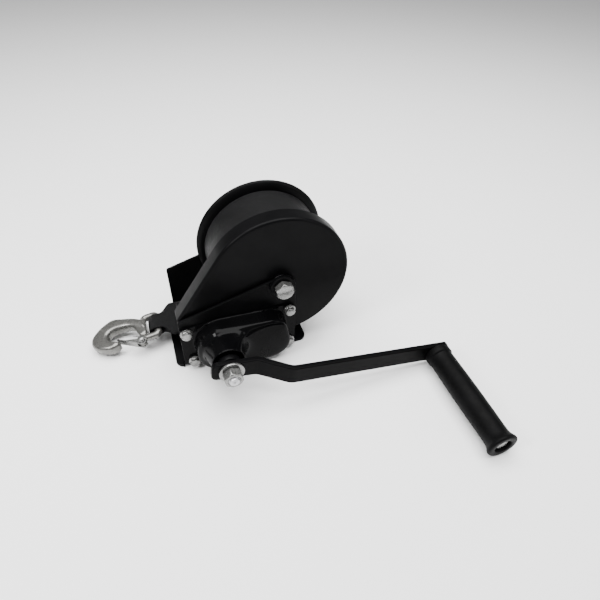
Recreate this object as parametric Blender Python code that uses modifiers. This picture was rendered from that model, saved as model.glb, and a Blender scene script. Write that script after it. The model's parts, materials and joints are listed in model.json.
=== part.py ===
"""Boat trailer winch: a geared strap winch with a brake on the crank shaft.

Metres, +Z up. The base plate's lower face lies on z = 0 with its centre at the origin, the strap
leaves towards -X and the crank is on the -Y side. Every shaft runs along Y.
"""
import math

import bmesh
import bpy
from mathutils import Vector

# Clearances and facets
GAP = 0.0003
ROUND_SIDES = 20
SMALL_SIDES = 12

# Frame: a folded channel of steel sheet
SHEET = 0.003
FRAME_WIDTH = 0.0926
BASE_LENGTH = 0.152
BASE_CORNER = 0.009
WALL_FRONT_X = -0.0669
WALL_BACK_X = 0.060
WALL_CORNER_Z = 0.0693
WALL_TIP_RADIUS = 0.014
SLOT_WIDTH = 0.0105
SLOT_LENGTH = 0.020
SLOT_PLACES = ((-0.052, -0.022), (-0.052, 0.022), (0.050, 0.0))

# Drum axle and gear pair
AXLE_X = 0.0443
AXLE_Z = 0.0946
MODULE = 0.0025
GEAR_TEETH = 56
PINION_TEETH = 12
PRESSURE_ANGLE = math.radians(20)
BACKLASH = 0.0006
CENTRE_DISTANCE = MODULE * (GEAR_TEETH + PINION_TEETH) / 2
CENTRE_LINE_ANGLE = math.radians(35.5)
CRANK_X = AXLE_X - CENTRE_DISTANCE * math.cos(CENTRE_LINE_ANGLE)
CRANK_Z = AXLE_Z - CENTRE_DISTANCE * math.sin(CENTRE_LINE_ANGLE)

# Gear guard: a shallow pan inside the near wall
GUARD_FACE_Y = -0.0415
GUARD_DEPTH = 0.0183
GUARD_SHEET = 0.0015
GUARD_RADIUS = 0.0768

# Drum and strap
FLANGE_NEAR_Y = -0.0262
FLANGE_FAR_Y = 0.0388
FLANGE_SHEET = 0.002
FLANGE_RADIUS = 0.0738
BARREL_RADIUS = 0.024
ROLL_RADIUS = 0.0666
STRAP_WIDTH = 0.050
STRAP_THICKNESS = 0.0022
STRAP_MIDDLE_Y = 0.008
LOOP_WIDTH = 0.023
EYE_BAR_X = -0.0885

# Axle and crank shaft
AXLE_RADIUS = 0.006
SLEEVE_RADIUS = 0.009
SHAFT_RADIUS = 0.007
THREAD_RADIUS = 0.006

# Brake inside the cover
COVER_DEPTH = 0.0443
COVER_SHEET = 0.0018
COVER_BOLTS = ((-0.0600, 0.0535), (0.0525, 0.0585), (-0.0560, 0.0105), (0.0525, 0.0096))
DISC_RADIUS = 0.014
RATCHET_TEETH = 12
RATCHET_TIP = 0.0165
RATCHET_ROOT = 0.0132
RATCHET_NEAR_Y = -0.0604
RATCHET_WIDTH = 0.005
PAWL_NOSE_ANGLE = math.radians(-80)
PAWL_NOSE_RADIUS = 0.0009
PAWL_NOSE_REACH = 0.0156
PAWL_LENGTH = 0.026
PAWL_OFFSET = 0.010

# Crank arm and grip
CRANK_LENGTH = 0.232
CRANK_REST = math.radians(-7.2)
ARM_WIDTH = 0.022
ARM_THICKNESS = 0.006
ARM_EYE_Y = -0.1035
ARM_FACE_Y = -0.1224
ARM_TAIL = 0.020
ARM_JOG_START = 0.026
ARM_JOG_END = 0.058
GRIP_RADIUS = 0.0137
GRIP_FLANGE_RADIUS = 0.016
GRIP_START_Y = -0.1230
GRIP_END_Y = -0.2455

# Snap hook, in its own frame: u from the eye bar to the bend, v across, n normal to the hook
EYE_WIRE = 0.0042
HOOK_HALF_HEIGHT = 0.0068
HOOK_EDGE = 0.0036
HOOK_END = (0.0750, -0.0020)
EYE_LENGTH = 0.016
EYE_HALF_WIDTH = 0.016
LATCH_HINGE = (0.0185, 0.0215)
LATCH_END = (0.0460, 0.0072)

NEAR_WALL_Y = -FRAME_WIDTH / 2
FAR_WALL_Y = FRAME_WIDTH / 2
STRAP_TOP = AXLE_Z - ROLL_RADIUS - GAP
LOOP_RADIUS = EYE_WIRE + GAP + STRAP_THICKNESS
EYE_BAR_Z = STRAP_TOP - LOOP_RADIUS
HOOK_TILT = math.asin((EYE_BAR_Z - HOOK_HALF_HEIGHT - 2 * GAP) / (HOOK_END[0] - HOOK_EDGE))

for old in list(bpy.data.objects):
    bpy.data.objects.remove(old, do_unlink=True)
parts = bpy.data.collections.new("boat_trailer_winch")
tools = bpy.data.collections.new("cutters")
bpy.context.scene.collection.children.link(parts)
bpy.context.scene.collection.children.link(tools)


# Materials
def material(name, colour, metallic, roughness):
    made = bpy.data.materials.new(name)
    made.use_nodes = True
    shader = made.node_tree.nodes["Principled BSDF"]
    shader.inputs["Base Color"].default_value = (*colour, 1)
    shader.inputs["Metallic"].default_value = metallic
    shader.inputs["Roughness"].default_value = roughness
    return made


BLACK_COAT = material("black_powder_coat", (0.016, 0.016, 0.017), 0.0, 0.42)
GLOSS_COAT = material("black_gloss_coat", (0.012, 0.012, 0.013), 0.0, 0.2)
ZINC = material("bright_zinc", (0.66, 0.67, 0.68), 1.0, 0.3)
STEEL = material("plain_steel", (0.42, 0.42, 0.43), 1.0, 0.38)
BRONZE = material("oiled_bronze", (0.55, 0.36, 0.16), 1.0, 0.4)
LINING = material("brake_lining", (0.16, 0.10, 0.07), 0.0, 0.85)
PLASTIC = material("black_plastic", (0.02, 0.02, 0.021), 0.0, 0.5)
WEBBING = material("black_webbing", (0.015, 0.015, 0.016), 0.0, 0.8)


# Joint frames
def pivot(name, place, turn=(0, 0, 0), parent=None):
    empty = bpy.data.objects.new(name, None)
    parts.objects.link(empty)
    empty.location = place
    empty.rotation_euler = turn
    empty.parent = parent
    return empty


drum_pivot = pivot("drum_pivot", (AXLE_X, 0, AXLE_Z))
crank_pivot = pivot("crank_pivot", (CRANK_X, 0, CRANK_Z))
arm_frame = pivot("arm_frame", (0, 0, 0), (0, -CRANK_REST, 0), crank_pivot)
grip_pivot = pivot("grip_pivot", (CRANK_LENGTH, 0, 0), (0, 0, 0), arm_frame)
ratchet_pivot = pivot("ratchet_pivot", (CRANK_X, 0, CRANK_Z))
hook_pivot = pivot("hook_pivot", (EYE_BAR_X, STRAP_MIDDLE_Y, EYE_BAR_Z), (0, HOOK_TILT, math.pi))
latch_pivot = pivot("latch_pivot", (*LATCH_HINGE, 0), (0, 0, 0), hook_pivot)


# Outlines in a plane
def hull_outline(circles, count=64):
    """The outer line round circles (x, y, radius), counter-clockwise."""
    points = []
    for step in range(count):
        angle = 2 * math.pi * step / count
        way = Vector((math.cos(angle), math.sin(angle)))
        x, y, radius = max(circles, key=lambda c: c[0] * way.x + c[1] * way.y + c[2])
        point = Vector((x, y)) + way * radius
        if not points or (point - points[-1]).length > 1e-5:
            points.append(point)
    return points


def circle(x, y, radius, sides=ROUND_SIDES):
    return hull_outline([(x, y, radius)], sides)


def inset(circles, amount):
    return [(x, y, radius - amount) for x, y, radius in circles]


def hull_reach(circles, angle):
    """How far the hull of circles reaches from the origin towards an angle."""
    way = Vector((math.cos(angle), math.sin(angle)))
    reach = []
    for step in range(-80, 81, 2):
        normal = Vector((math.cos(angle + math.radians(step)), math.sin(angle + math.radians(step))))
        edge = max(x * normal.x + y * normal.y + radius for x, y, radius in circles)
        reach.append(edge / way.dot(normal))
    return min(reach)


# Solids
def add_mesh(name, mesh, look, parent=None, group=parts):
    solid = bpy.data.objects.new(name, mesh)
    group.objects.link(solid)
    solid.parent = parent
    if look:
        mesh.materials.clear()
        mesh.materials.append(look)
    return solid


def smooth(solid, limit=35):
    solid.data.shade_smooth()
    solid.data.set_sharp_from_angle(angle=math.radians(limit))
    return solid


def curve_to_mesh(made, name, look, parent, group=parts):
    """A curve object made a welded mesh object, so that it can be cut or joined."""
    bpy.context.view_layer.update()
    evaluated = made.evaluated_get(bpy.context.evaluated_depsgraph_get())
    mesh = bpy.data.meshes.new_from_object(evaluated)
    shape = bmesh.new()
    shape.from_mesh(mesh)
    bmesh.ops.remove_doubles(shape, verts=shape.verts, dist=1e-6)
    bmesh.ops.recalc_face_normals(shape, faces=shape.faces)
    shape.transform(made.matrix_world)
    shape.to_mesh(mesh)
    shape.free()
    bpy.data.objects.remove(made, do_unlink=True)
    mesh.name = name
    return add_mesh(name, mesh, look, parent, group)


def plate(name, outlines, low, high, look, parent=None, group=parts, turn=(math.pi / 2, 0, 0), edge=0.0):
    """A flat piece: outlines in X and Z, the first outside and the others holes, from y low to high."""
    flat = bpy.data.curves.new(name, "CURVE")
    flat.dimensions = "2D"
    flat.fill_mode = "BOTH"
    flat.extrude = (high - low) / 2 - edge
    flat.bevel_depth = edge
    flat.bevel_resolution = 1
    flat.offset = -edge
    for outline in outlines:
        spline = flat.splines.new("POLY")
        spline.points.add(len(outline) - 1)
        for point, (x, y) in zip(spline.points, outline):
            point.co = (x, y, 0, 1)
        spline.use_cyclic_u = True
    made = bpy.data.objects.new(name + "_outline", flat)
    parts.objects.link(made)
    made.rotation_euler = turn
    made.location = (0, (low + high) / 2, 0) if turn[0] else (0, 0, (low + high) / 2)
    return curve_to_mesh(made, name, look, parent, group)


def level_plate(name, outlines, low, high, look, parent=None, group=parts, edge=0.0):
    """A flat piece lying level: outlines in X and Y, from z low to high."""
    return plate(name, outlines, low, high, look, parent, group, (0, 0, 0), edge)


def turned(name, profile, look, parent=None, place=(0, 0, 0), sides=ROUND_SIDES, group=parts):
    """A turned piece along Y: profile points (radius, y), from its far end round to its near end."""
    mesh = bpy.data.meshes.new(name)
    hollow = all(radius > 0 for radius, _ in profile)
    edges = [(i, i + 1) for i in range(len(profile) - 1)]
    if hollow:
        edges.append((len(profile) - 1, 0))
    mesh.from_pydata([(radius, 0, y) for radius, y in profile], edges, [])
    solid = add_mesh(name, mesh, look, parent, group)
    solid.location = place
    solid.rotation_euler = (-math.pi / 2, 0, 0)
    screw = solid.modifiers.new("turn", "SCREW")
    screw.steps = sides
    screw.render_steps = sides
    screw.use_merge_vertices = True
    screw.merge_threshold = 1e-5
    screw.use_smooth_shade = False
    return solid


def rod(name, radius, near, far, look, parent=None, place=(0, 0, 0), sides=ROUND_SIDES, group=parts):
    profile = [(0, far), (radius, far), (radius, near), (0, near)]
    return turned(name, profile, look, parent, place, sides, group)


def ring(name, inner, outer, near, far, look, parent=None, place=(0, 0, 0), sides=ROUND_SIDES):
    profile = [(inner, far), (outer, far), (outer, near), (inner, near)]
    return turned(name, profile, look, parent, place, sides)


def tube(name, points, radius, look, parent=None, closed=False, sides=2):
    """A round wire along points; sides is the curve's bevel_resolution."""
    wire = bpy.data.curves.new(name, "CURVE")
    wire.dimensions = "3D"
    wire.bevel_depth = radius
    wire.bevel_resolution = sides
    wire.use_fill_caps = True
    wire.twist_mode = "MINIMUM"
    spline = wire.splines.new("POLY")
    spline.points.add(len(points) - 1)
    for i, place in enumerate(points):
        spline.points[i].co = (*place, 1)
    spline.use_cyclic_u = closed
    made = bpy.data.objects.new(name + "_wire", wire)
    parts.objects.link(made)
    return curve_to_mesh(made, name, look, parent)


def combine(solid, other, operation, keep=False):
    """A Boolean applied to the mesh itself; the other solid is used up, or kept as a hidden cutter."""
    boolean = solid.modifiers.new("cut", "BOOLEAN")
    boolean.object = other
    boolean.operation = operation
    boolean.solver = "EXACT"
    bpy.context.view_layer.update()
    evaluated = solid.evaluated_get(bpy.context.evaluated_depsgraph_get())
    mesh = bpy.data.meshes.new_from_object(evaluated)
    look = solid.data.materials[0]
    solid.modifiers.clear()
    solid.data = mesh
    mesh.materials.clear()
    mesh.materials.append(look)
    if keep:
        other.hide_render = True
        other.display_type = "WIRE"
    else:
        bpy.data.objects.remove(other, do_unlink=True)
    return solid


def drill(solid, radius, near, far, places, sides=SMALL_SIDES, parent=None):
    """Round holes along Y at places (x, z)."""
    for x, z in places:
        cutter = rod("drill", radius, near, far, None, parent, (x, 0, z), sides, tools)
        combine(solid, cutter, "DIFFERENCE")
    return solid


def hexagon(name, across_flats, near, far, look, parent=None, hole=0.0, place=(0, 0), turn=0.0):
    """A hexagonal nut or head along Y, with two flats square to X when turn is 0."""
    corner = across_flats / math.sqrt(3)
    outline = []
    for step in range(6):
        angle = math.pi / 6 + turn + math.pi * step / 3
        outline.append((place[0] + corner * math.cos(angle), place[1] + corner * math.sin(angle)))
    outlines = [outline]
    if hole:
        outlines.append(circle(*place, hole, SMALL_SIDES))
    return plate(name, outlines, near, far, look, parent)


def coil(radius, pitch, turns, start, per_turn=8):
    """Points of a helix about the Z axis from angle start, rising from z = 0."""
    points = []
    for step in range(int(turns * per_turn) + 1):
        angle = start + 2 * math.pi * step / per_turn
        points.append((radius * math.cos(angle), radius * math.sin(angle), pitch * step / per_turn))
    return points


# Frame and fixed covers
def frame_channel():
    half_length = BASE_LENGTH / 2 - BASE_CORNER
    half_width = FRAME_WIDTH / 2 - BASE_CORNER
    corners = [(x, y, BASE_CORNER) for x in (-half_length, half_length) for y in (-half_width, half_width)]
    outlines = [hull_outline(corners, 32)]
    for x, y in SLOT_PLACES:
        straight = (SLOT_LENGTH - SLOT_WIDTH) / 2
        ends = [(x - straight, y, SLOT_WIDTH / 2), (x + straight, y, SLOT_WIDTH / 2)]
        outlines.append(hull_outline(ends, 16))
    channel = level_plate("frame_channel", outlines, 0, SHEET, BLACK_COAT)
    edge = 0.003
    wall_circles = [
        (WALL_FRONT_X + edge, 0.001 + edge, edge),
        (WALL_FRONT_X + edge, WALL_CORNER_Z - edge, edge),
        (WALL_BACK_X - WALL_TIP_RADIUS, AXLE_Z - 0.0038, WALL_TIP_RADIUS),
        (WALL_BACK_X - edge, 0.001 + edge, edge),
    ]
    inside = FRAME_WIDTH / 2 - SHEET
    for low, high in ((NEAR_WALL_Y, -inside), (inside, FAR_WALL_Y)):
        wall = plate("wall", [hull_outline(wall_circles, 48)], low, high, BLACK_COAT)
        combine(channel, wall, "UNION")
    axle = [(AXLE_X, AXLE_Z)]
    drill(channel, AXLE_RADIUS + GAP, -0.06, 0.06, axle)
    drill(channel, SLEEVE_RADIUS + GAP, -0.06, 0.06, [(CRANK_X, CRANK_Z)], ROUND_SIDES)
    drill(channel, 0.0033, -0.06, -0.02, COVER_BOLTS)
    drill(channel, 0.0043, -0.06, -0.02, [pawl_place()])
    return channel


def pawl_place():
    """The pawl pin's x and z: off the ratchet's rim, where the pawl reaches its nose."""
    out = Vector((math.cos(PAWL_NOSE_ANGLE), math.sin(PAWL_NOSE_ANGLE)))
    along = Vector((-out.y, out.x))
    centre = Vector((CRANK_X, CRANK_Z))
    return tuple(centre + out * (PAWL_NOSE_REACH + PAWL_OFFSET) + along * PAWL_LENGTH)


def gear_guard():
    corner = 0.004
    circles = [
        (AXLE_X, AXLE_Z, GUARD_RADIUS),
        (WALL_FRONT_X + corner, WALL_CORNER_Z - corner, corner),
        (WALL_FRONT_X + corner, AXLE_Z - GUARD_RADIUS + corner, corner),
    ]
    far = GUARD_FACE_Y + GUARD_DEPTH
    guard = plate("gear_guard", [hull_outline(circles, 48)], GUARD_FACE_Y, far, BLACK_COAT)
    hollow = hull_outline(inset(circles, GUARD_SHEET), 48)
    cutter = plate("guard_hollow", [hollow], GUARD_FACE_Y + GUARD_SHEET, far + 0.01, None, None, tools)
    combine(guard, cutter, "DIFFERENCE")
    drill(guard, SLEEVE_RADIUS + GAP, -0.05, -0.03, [(AXLE_X, AXLE_Z), (CRANK_X, CRANK_Z)], ROUND_SIDES)
    drill(guard, 0.0033, -0.05, -0.03, COVER_BOLTS[:2])
    return guard


def cone_level(base, top, part, crest, hollow):
    """A (radius, height) part of the way from the crest, where the cone is base wide, to the cover's end."""
    return top + (base - top) * (1 - part) ** hollow, crest + (COVER_DEPTH - crest) * part


def brake_cover():
    """A pressed shell: a four-bolt flange, a pear-shaped wall with a rounded crest, and a conical boss."""
    foot = [(-0.023, 0.0345, 0.0305), (-0.026, 0.0465, 0.0190), (0.027, 0.044, 0.0205), (0.029, 0.026, 0.021)]
    ridge = [(-0.023, 0.0330, 0.0290), (-0.0249, 0.046, 0.0183), (0.0255, 0.043, 0.020), (0.0285, 0.026, 0.0205)]
    flange = [(x, z, 0.0075) for x, z in COVER_BOLTS]
    boss = 0.0172
    crest, boss_base = 0.0203, 0.0300
    sides = 48
    levels = []
    for step in range(sides):
        angle = 2 * math.pi * step / sides
        at = [[(x - CRANK_X, z - CRANK_Z, r) for x, z, r in group] for group in (flange, foot, ridge)]
        outer, low, high = (hull_reach(circles, angle) for circles in at)
        root = ((high - 0.0018) ** -6 + boss_base ** -6) ** (-1 / 6)
        hollow = 1 + 0.9 * min(max((high - 0.026) / 0.015, 0), 1)
        levels.append([
            (outer, COVER_SHEET),
            (low + 0.0012, COVER_SHEET),
            (low, COVER_SHEET + 0.0012),
            (high + 0.0010, 0.0150),
            (high + 0.0002, 0.0185),
            (high - 0.0014, crest),
            (root, crest + 0.0009),
            *[cone_level(root, boss, part, crest, hollow) for part in (0.16, 0.34, 0.55, 0.78)],
            (boss, COVER_DEPTH - 0.0006),
            (boss - 0.0005, COVER_DEPTH),
        ])
    mesh = bpy.data.meshes.new("brake_cover")
    shape = bmesh.new()
    loops = []
    for level in range(len(levels[0])):
        loop = []
        for step in range(sides):
            angle = 2 * math.pi * step / sides
            radius, height = levels[step][level]
            x = CRANK_X + radius * math.cos(angle)
            z = CRANK_Z + radius * math.sin(angle)
            loop.append(shape.verts.new((x, NEAR_WALL_Y - GAP - height, z)))
        loops.append(loop)
    for lower, upper in zip(loops, loops[1:]):
        for step in range(sides):
            after = (step + 1) % sides
            shape.faces.new((lower[step], lower[after], upper[after], upper[step]))
    shape.to_mesh(mesh)
    shape.free()
    cover = add_mesh("brake_cover", mesh, GLOSS_COAT)
    shell = cover.modifiers.new("shell", "SOLIDIFY")
    shell.thickness = COVER_SHEET
    shell.offset = -1
    drill(cover, 0.0033, -0.06, -0.04, COVER_BOLTS)
    return smooth(cover)


def cover_fasteners():
    head_base = NEAR_WALL_Y - COVER_SHEET - 2 * GAP
    guard_back = GUARD_FACE_Y + GUARD_SHEET
    wall_back = NEAR_WALL_Y + SHEET
    for number, (x, z) in enumerate(COVER_BOLTS, 1):
        nut_face = (guard_back if number <= 2 else wall_back) + GAP
        bolt = hexagon(f"cover_bolt_{number}", 0.010, head_base - 0.0055, head_base - 0.0012, ZINC, None, 0, (x, z))
        washer = rod("washer", 0.0068, head_base - 0.0016, head_base, ZINC, None, (x, 0, z))
        shank = rod("shank", 0.003, head_base - 0.001, nut_face + 0.0042, ZINC, None, (x, 0, z), SMALL_SIDES)
        combine(bolt, washer, "UNION")
        combine(bolt, shank, "UNION")
        hexagon(f"cover_nut_{number}", 0.010, nut_face, nut_face + 0.004, ZINC, None, 0.0033, (x, z))


def axle_set():
    place = (AXLE_X, 0, AXLE_Z)
    spacer_near = NEAR_WALL_Y - GAP - 0.005
    head_base = spacer_near - GAP
    bolt = hexagon("axle_bolt", 0.018, head_base - 0.008, head_base, ZINC, None, 0, place[::2], math.radians(9))
    shank = rod("shank", AXLE_RADIUS, head_base - 0.001, 0.0610, ZINC, None, place)
    combine(bolt, shank, "UNION")
    inner = AXLE_RADIUS + GAP
    ring("axle_spacer", inner, 0.0135, spacer_near, NEAR_WALL_Y - GAP, BLACK_COAT, None, place)
    ring("axle_washer", inner, 0.0125, FAR_WALL_Y + GAP, FAR_WALL_Y + 0.0023, ZINC, None, place)
    nut_face = FAR_WALL_Y + 0.0026
    hexagon("axle_nut", 0.018, nut_face, nut_face + 0.010, ZINC, None, inner, place[::2])
    inside = FRAME_WIDTH / 2 - SHEET - GAP
    ring("axle_sleeve", inner, SLEEVE_RADIUS, -inside, inside, STEEL, None, place)


def shaft_bushes():
    inner = SHAFT_RADIUS + GAP
    place = (CRANK_X, 0, CRANK_Z)
    near = [(inner, -0.0368), (0.011, -0.0368), (0.011, -0.0397), (0.009, -0.0397), (0.009, -0.0503), (inner, -0.0503)]
    turned("shaft_bush_near", near, BRONZE, None, place)
    far = [(inner, 0.0463), (0.009, 0.0463), (0.009, 0.0430), (0.011, 0.0430), (0.011, 0.0411), (inner, 0.0411)]
    turned("shaft_bush_far", far, BRONZE, None, place)


# Gears
def involute_flank(base, radius):
    """The angle an involute has turned through where it reaches a radius."""
    if radius <= base:
        return 0.0
    pressure = math.acos(base / radius)
    return math.tan(pressure) - pressure


def gear_outline(teeth, addendum, dedendum, phase, steps=2):
    """A spur gear's outline about the origin, with a tooth centred on the phase angle."""
    pitch = MODULE * teeth / 2
    base = pitch * math.cos(PRESSURE_ANGLE)
    tip, root = pitch + addendum, pitch - dedendum
    half_tooth = (math.pi * MODULE / 2 - BACKLASH) / (2 * pitch)
    start = max(base, root + 0.0003)
    points = []
    for tooth in range(teeth):
        middle = phase + 2 * math.pi * tooth / teeth
        flank = []
        for step in range(steps):
            radius = start + (tip - start) * step / (steps - 1)
            half = half_tooth + involute_flank(base, pitch) - involute_flank(base, radius)
            flank.append((radius, half))
        flank.insert(0, (root, flank[0][1] * 1.05))
        for radius, half in flank:
            points.append((radius * math.cos(middle - half), radius * math.sin(middle - half)))
        for radius, half in reversed(flank):
            points.append((radius * math.cos(middle + half), radius * math.sin(middle + half)))
    return points


def ring_of(count, radius, start=0.0):
    """Places (x, z) spaced evenly on a circle."""
    angles = [start + 2 * math.pi * i / count for i in range(count)]
    return [(radius * math.cos(angle), radius * math.sin(angle)) for angle in angles]


# Drum, its gear and the strap wound on it
def drum():
    hole = 0.0125
    rivets = ring_of(4, 0.050, math.radians(20))
    anchor = ring_of(1, 0.0300, math.radians(-60))
    round_holes = [circle(x, z, 0.0043, SMALL_SIDES) for x, z in rivets + anchor]
    centre_hole = circle(0, 0, hole)
    near_face = FLANGE_NEAR_Y + FLANGE_SHEET
    far_face = FLANGE_FAR_Y + FLANGE_SHEET
    near = [circle(0, 0, FLANGE_RADIUS - 0.0003, 56), centre_hole, *round_holes]
    plate("drum_flange_near", near, FLANGE_NEAR_Y, near_face, BLACK_COAT, drum_pivot)
    dish = 0.003
    profile = [
        (hole, far_face), (0.0312, far_face), (0.0362, far_face - dish), (0.0636, far_face - dish),
        (0.0682, far_face - 0.0023), (0.0712, far_face - 0.0007), (FLANGE_RADIUS - 0.0014, far_face + 0.0010),
        (FLANGE_RADIUS, far_face - 0.0003), (0.0722, far_face - 0.0026), (0.0692, far_face - 0.0042),
        (0.0640, far_face - dish - FLANGE_SHEET), (0.0355, far_face - dish - FLANGE_SHEET),
        (0.0305, FLANGE_FAR_Y), (hole, FLANGE_FAR_Y),
    ]
    far = turned("drum_flange_far", profile, BLACK_COAT, drum_pivot, sides=56)
    drill(far, 0.0043, 0.03, 0.05, anchor, SMALL_SIDES, drum_pivot)
    inner = BARREL_RADIUS - 0.003
    barrel_ends = (near_face + GAP, FLANGE_FAR_Y - GAP)
    ring("drum_barrel", inner, BARREL_RADIUS, *barrel_ends, STEEL, drum_pivot)

    gear_front = FLANGE_NEAR_Y - GAP - 0.008
    phase = math.pi + CENTRE_LINE_ANGLE + math.pi / GEAR_TEETH
    teeth = gear_outline(GEAR_TEETH, 0.0019, 0.0030, phase)
    gear_holes = [teeth, centre_hole, *round_holes]
    plate("drum_gear", gear_holes, gear_front, FLANGE_NEAR_Y - GAP, STEEL, drum_pivot)

    for number, (x, z) in enumerate(rivets, 1):
        back, front = near_face + GAP, gear_front - GAP
        rivet = [
            (0, back + 0.002), (0.0045, back + 0.002), (0.006, back), (0.004, back),
            (0.004, front), (0.006, front), (0.0045, front - 0.002), (0, front - 0.002),
        ]
        turned(f"drum_rivet_{number}", rivet, STEEL, drum_pivot, (x, 0, z), SMALL_SIDES)
    (anchor_x, anchor_z), = anchor
    anchor_ends = (gear_front - 0.0004, far_face + 0.0006)
    anchor_at = (anchor_x, 0, anchor_z)
    rod("strap_anchor_pin", 0.004, *anchor_ends, STEEL, drum_pivot, anchor_at, SMALL_SIDES)

    bore, body, lip = SLEEVE_RADIUS + GAP, hole - GAP, 0.0155
    front = gear_front - GAP
    near_bush = [
        (bore, -0.0200), (body, -0.0200), (body, front), (lip, front), (lip, front - 0.003), (bore, front - 0.003),
    ]
    turned("drum_bush_near", near_bush, BRONZE, drum_pivot)
    back = far_face + GAP
    far_bush = [(bore, back + 0.0015), (lip, back + 0.0015), (lip, back), (body, back), (body, 0.0240), (bore, 0.0240)]
    turned("drum_bush_far", far_bush, BRONZE, drum_pivot)

    low, high = STRAP_MIDDLE_Y - STRAP_WIDTH / 2, STRAP_MIDDLE_Y + STRAP_WIDTH / 2
    roll = [circle(0, 0, ROLL_RADIUS, 56), circle(0, 0, BARREL_RADIUS + GAP), circle(*anchor[0], 0.0043, SMALL_SIDES)]
    plate("strap_roll", roll, low, high, WEBBING, drum_pivot)


def strap_lead():
    """The strap from under the roll to the hook, folded round the hook's eye and sewn back."""
    bottom = STRAP_TOP - STRAP_THICKNESS
    sewn = bottom - STRAP_THICKNESS
    outline = [(AXLE_X, STRAP_TOP)]
    for step in range(9):
        angle = math.pi / 2 + math.pi * 1.07 * step / 8
        outline.append((EYE_BAR_X + LOOP_RADIUS * math.cos(angle), EYE_BAR_Z + LOOP_RADIUS * math.sin(angle)))
    outline += [(-0.0640, sewn), (-0.0420, sewn), (-0.0415, bottom), (AXLE_X, bottom)]
    hole = hull_outline([(EYE_BAR_X, EYE_BAR_Z, EYE_WIRE + GAP), (-0.0700, bottom - 0.0006, 0.0003)], 22)
    low, high = STRAP_MIDDLE_Y - STRAP_WIDTH / 2, STRAP_MIDDLE_Y + STRAP_WIDTH / 2
    lead = plate("strap_lead", [outline, hole], low, high, WEBBING)
    half, narrow = STRAP_WIDTH / 2 + 0.001, LOOP_WIDTH / 2
    taper_end = EYE_BAR_X + EYE_WIRE + 0.0004
    across = [(0.06, half), (taper_end + 0.013, half), (taper_end, narrow), (-0.100, narrow)]
    plan = [(x, STRAP_MIDDLE_Y + y) for x, y in across]
    plan += [(x, STRAP_MIDDLE_Y - y) for x, y in reversed(across)]
    trim = level_plate("lead_trim", [plan[::-1]], 0, 0.05, None, None, tools)
    return combine(lead, trim, "INTERSECT")


# Crank shaft, brake and crank
def crank_shaft_set():
    shaft = [
        (0, 0.0510), (SHAFT_RADIUS, 0.0510), (SHAFT_RADIUS, -0.0626), (THREAD_RADIUS, -0.0626),
        (THREAD_RADIUS, -0.1180), (0, -0.1180),
    ]
    turned("crank_shaft", shaft, STEEL, crank_pivot)
    inner = SHAFT_RADIUS + GAP
    teeth = gear_outline(PINION_TEETH, 0.0021, 0.0028, CENTRE_LINE_ANGLE, 4)
    plate("pinion", [teeth, circle(0, 0, inner)], -0.0363, -0.0267, STEEL, crank_pivot)
    ring("brake_hub", inner, DISC_RADIUS, -0.0528, -0.0506, STEEL, crank_pivot)
    ring("friction_disc_inner", inner, DISC_RADIUS, -0.0551, -0.0531, LINING, crank_pivot)
    ring("friction_disc_outer", inner, DISC_RADIUS, -0.0627, -0.0607, LINING, crank_pivot)
    bore = THREAD_RADIUS + GAP
    hub_end = ARM_EYE_Y + ARM_THICKNESS + GAP
    hub = [
        (bore, -0.0630), (DISC_RADIUS, -0.0630), (DISC_RADIUS, -0.0655), (0.0095, -0.0655),
        (0.0095, -0.0900), (0.0118, -0.0910), (0.0118, hub_end), (bore, hub_end),
    ]
    turned("crank_hub", hub, BLACK_COAT, crank_pivot)
    ring("shaft_washer", inner, 0.0115, FAR_WALL_Y + GAP, FAR_WALL_Y + 0.0013, ZINC, crank_pivot)
    clip_face = FAR_WALL_Y + 0.0016
    opening = math.radians(40)
    arc = [opening + (2 * math.pi - 2 * opening) * i / 16 for i in range(17)]
    clip = [(0.0098 * math.cos(angle), 0.0098 * math.sin(angle)) for angle in arc]
    clip += [(inner * math.cos(angle), inner * math.sin(angle)) for angle in reversed(arc)]
    plate("shaft_clip", [clip], clip_face, clip_face + 0.0012, STEEL, crank_pivot)
    washer_near = ARM_EYE_Y - GAP - 0.0023
    ring("crank_washer", bore, 0.0130, washer_near, ARM_EYE_Y - GAP, ZINC, crank_pivot)
    nut_near = washer_near - GAP - 0.010
    hexagon("crank_nut", 0.018, nut_near, washer_near - GAP, ZINC, crank_pivot, bore, (0, 0), math.radians(12))


def crank_arm():
    """A flat bar with a jog, made as its side view and trimmed to its plan with rounded ends."""
    end = CRANK_LENGTH + 0.012
    face = [(-ARM_TAIL, ARM_EYE_Y), (ARM_JOG_START, ARM_EYE_Y), (ARM_JOG_END, ARM_FACE_Y), (end, ARM_FACE_Y)]
    slope = math.atan2(ARM_EYE_Y - ARM_FACE_Y, ARM_JOG_END - ARM_JOG_START)
    shift = ARM_THICKNESS * math.tan(slope / 2)
    back = [(x + (shift if 0 < i < 3 else 0), y + ARM_THICKNESS) for i, (x, y) in enumerate(face)]
    half = ARM_WIDTH / 2
    arm = level_plate("crank_arm", [face + back[::-1]], -half, half, BLACK_COAT, arm_frame)
    tail_corner, end_corner = 0.007, 0.002
    circles = [(-ARM_TAIL + tail_corner, side * (half - tail_corner), tail_corner) for side in (-1, 1)]
    circles += [(end - end_corner, side * (half - end_corner), end_corner) for side in (-1, 1)]
    plan = plate("arm_plan", [hull_outline(circles, 32)], -0.14, -0.08, None, arm_frame, tools)
    combine(arm, plan, "INTERSECT")
    drill(arm, THREAD_RADIUS + GAP, -0.13, -0.08, [(0, 0)], SMALL_SIDES, arm_frame)
    drill(arm, 0.004 + GAP, -0.13, -0.08, [(CRANK_LENGTH, 0)], SMALL_SIDES, arm_frame)
    return arm


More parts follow.
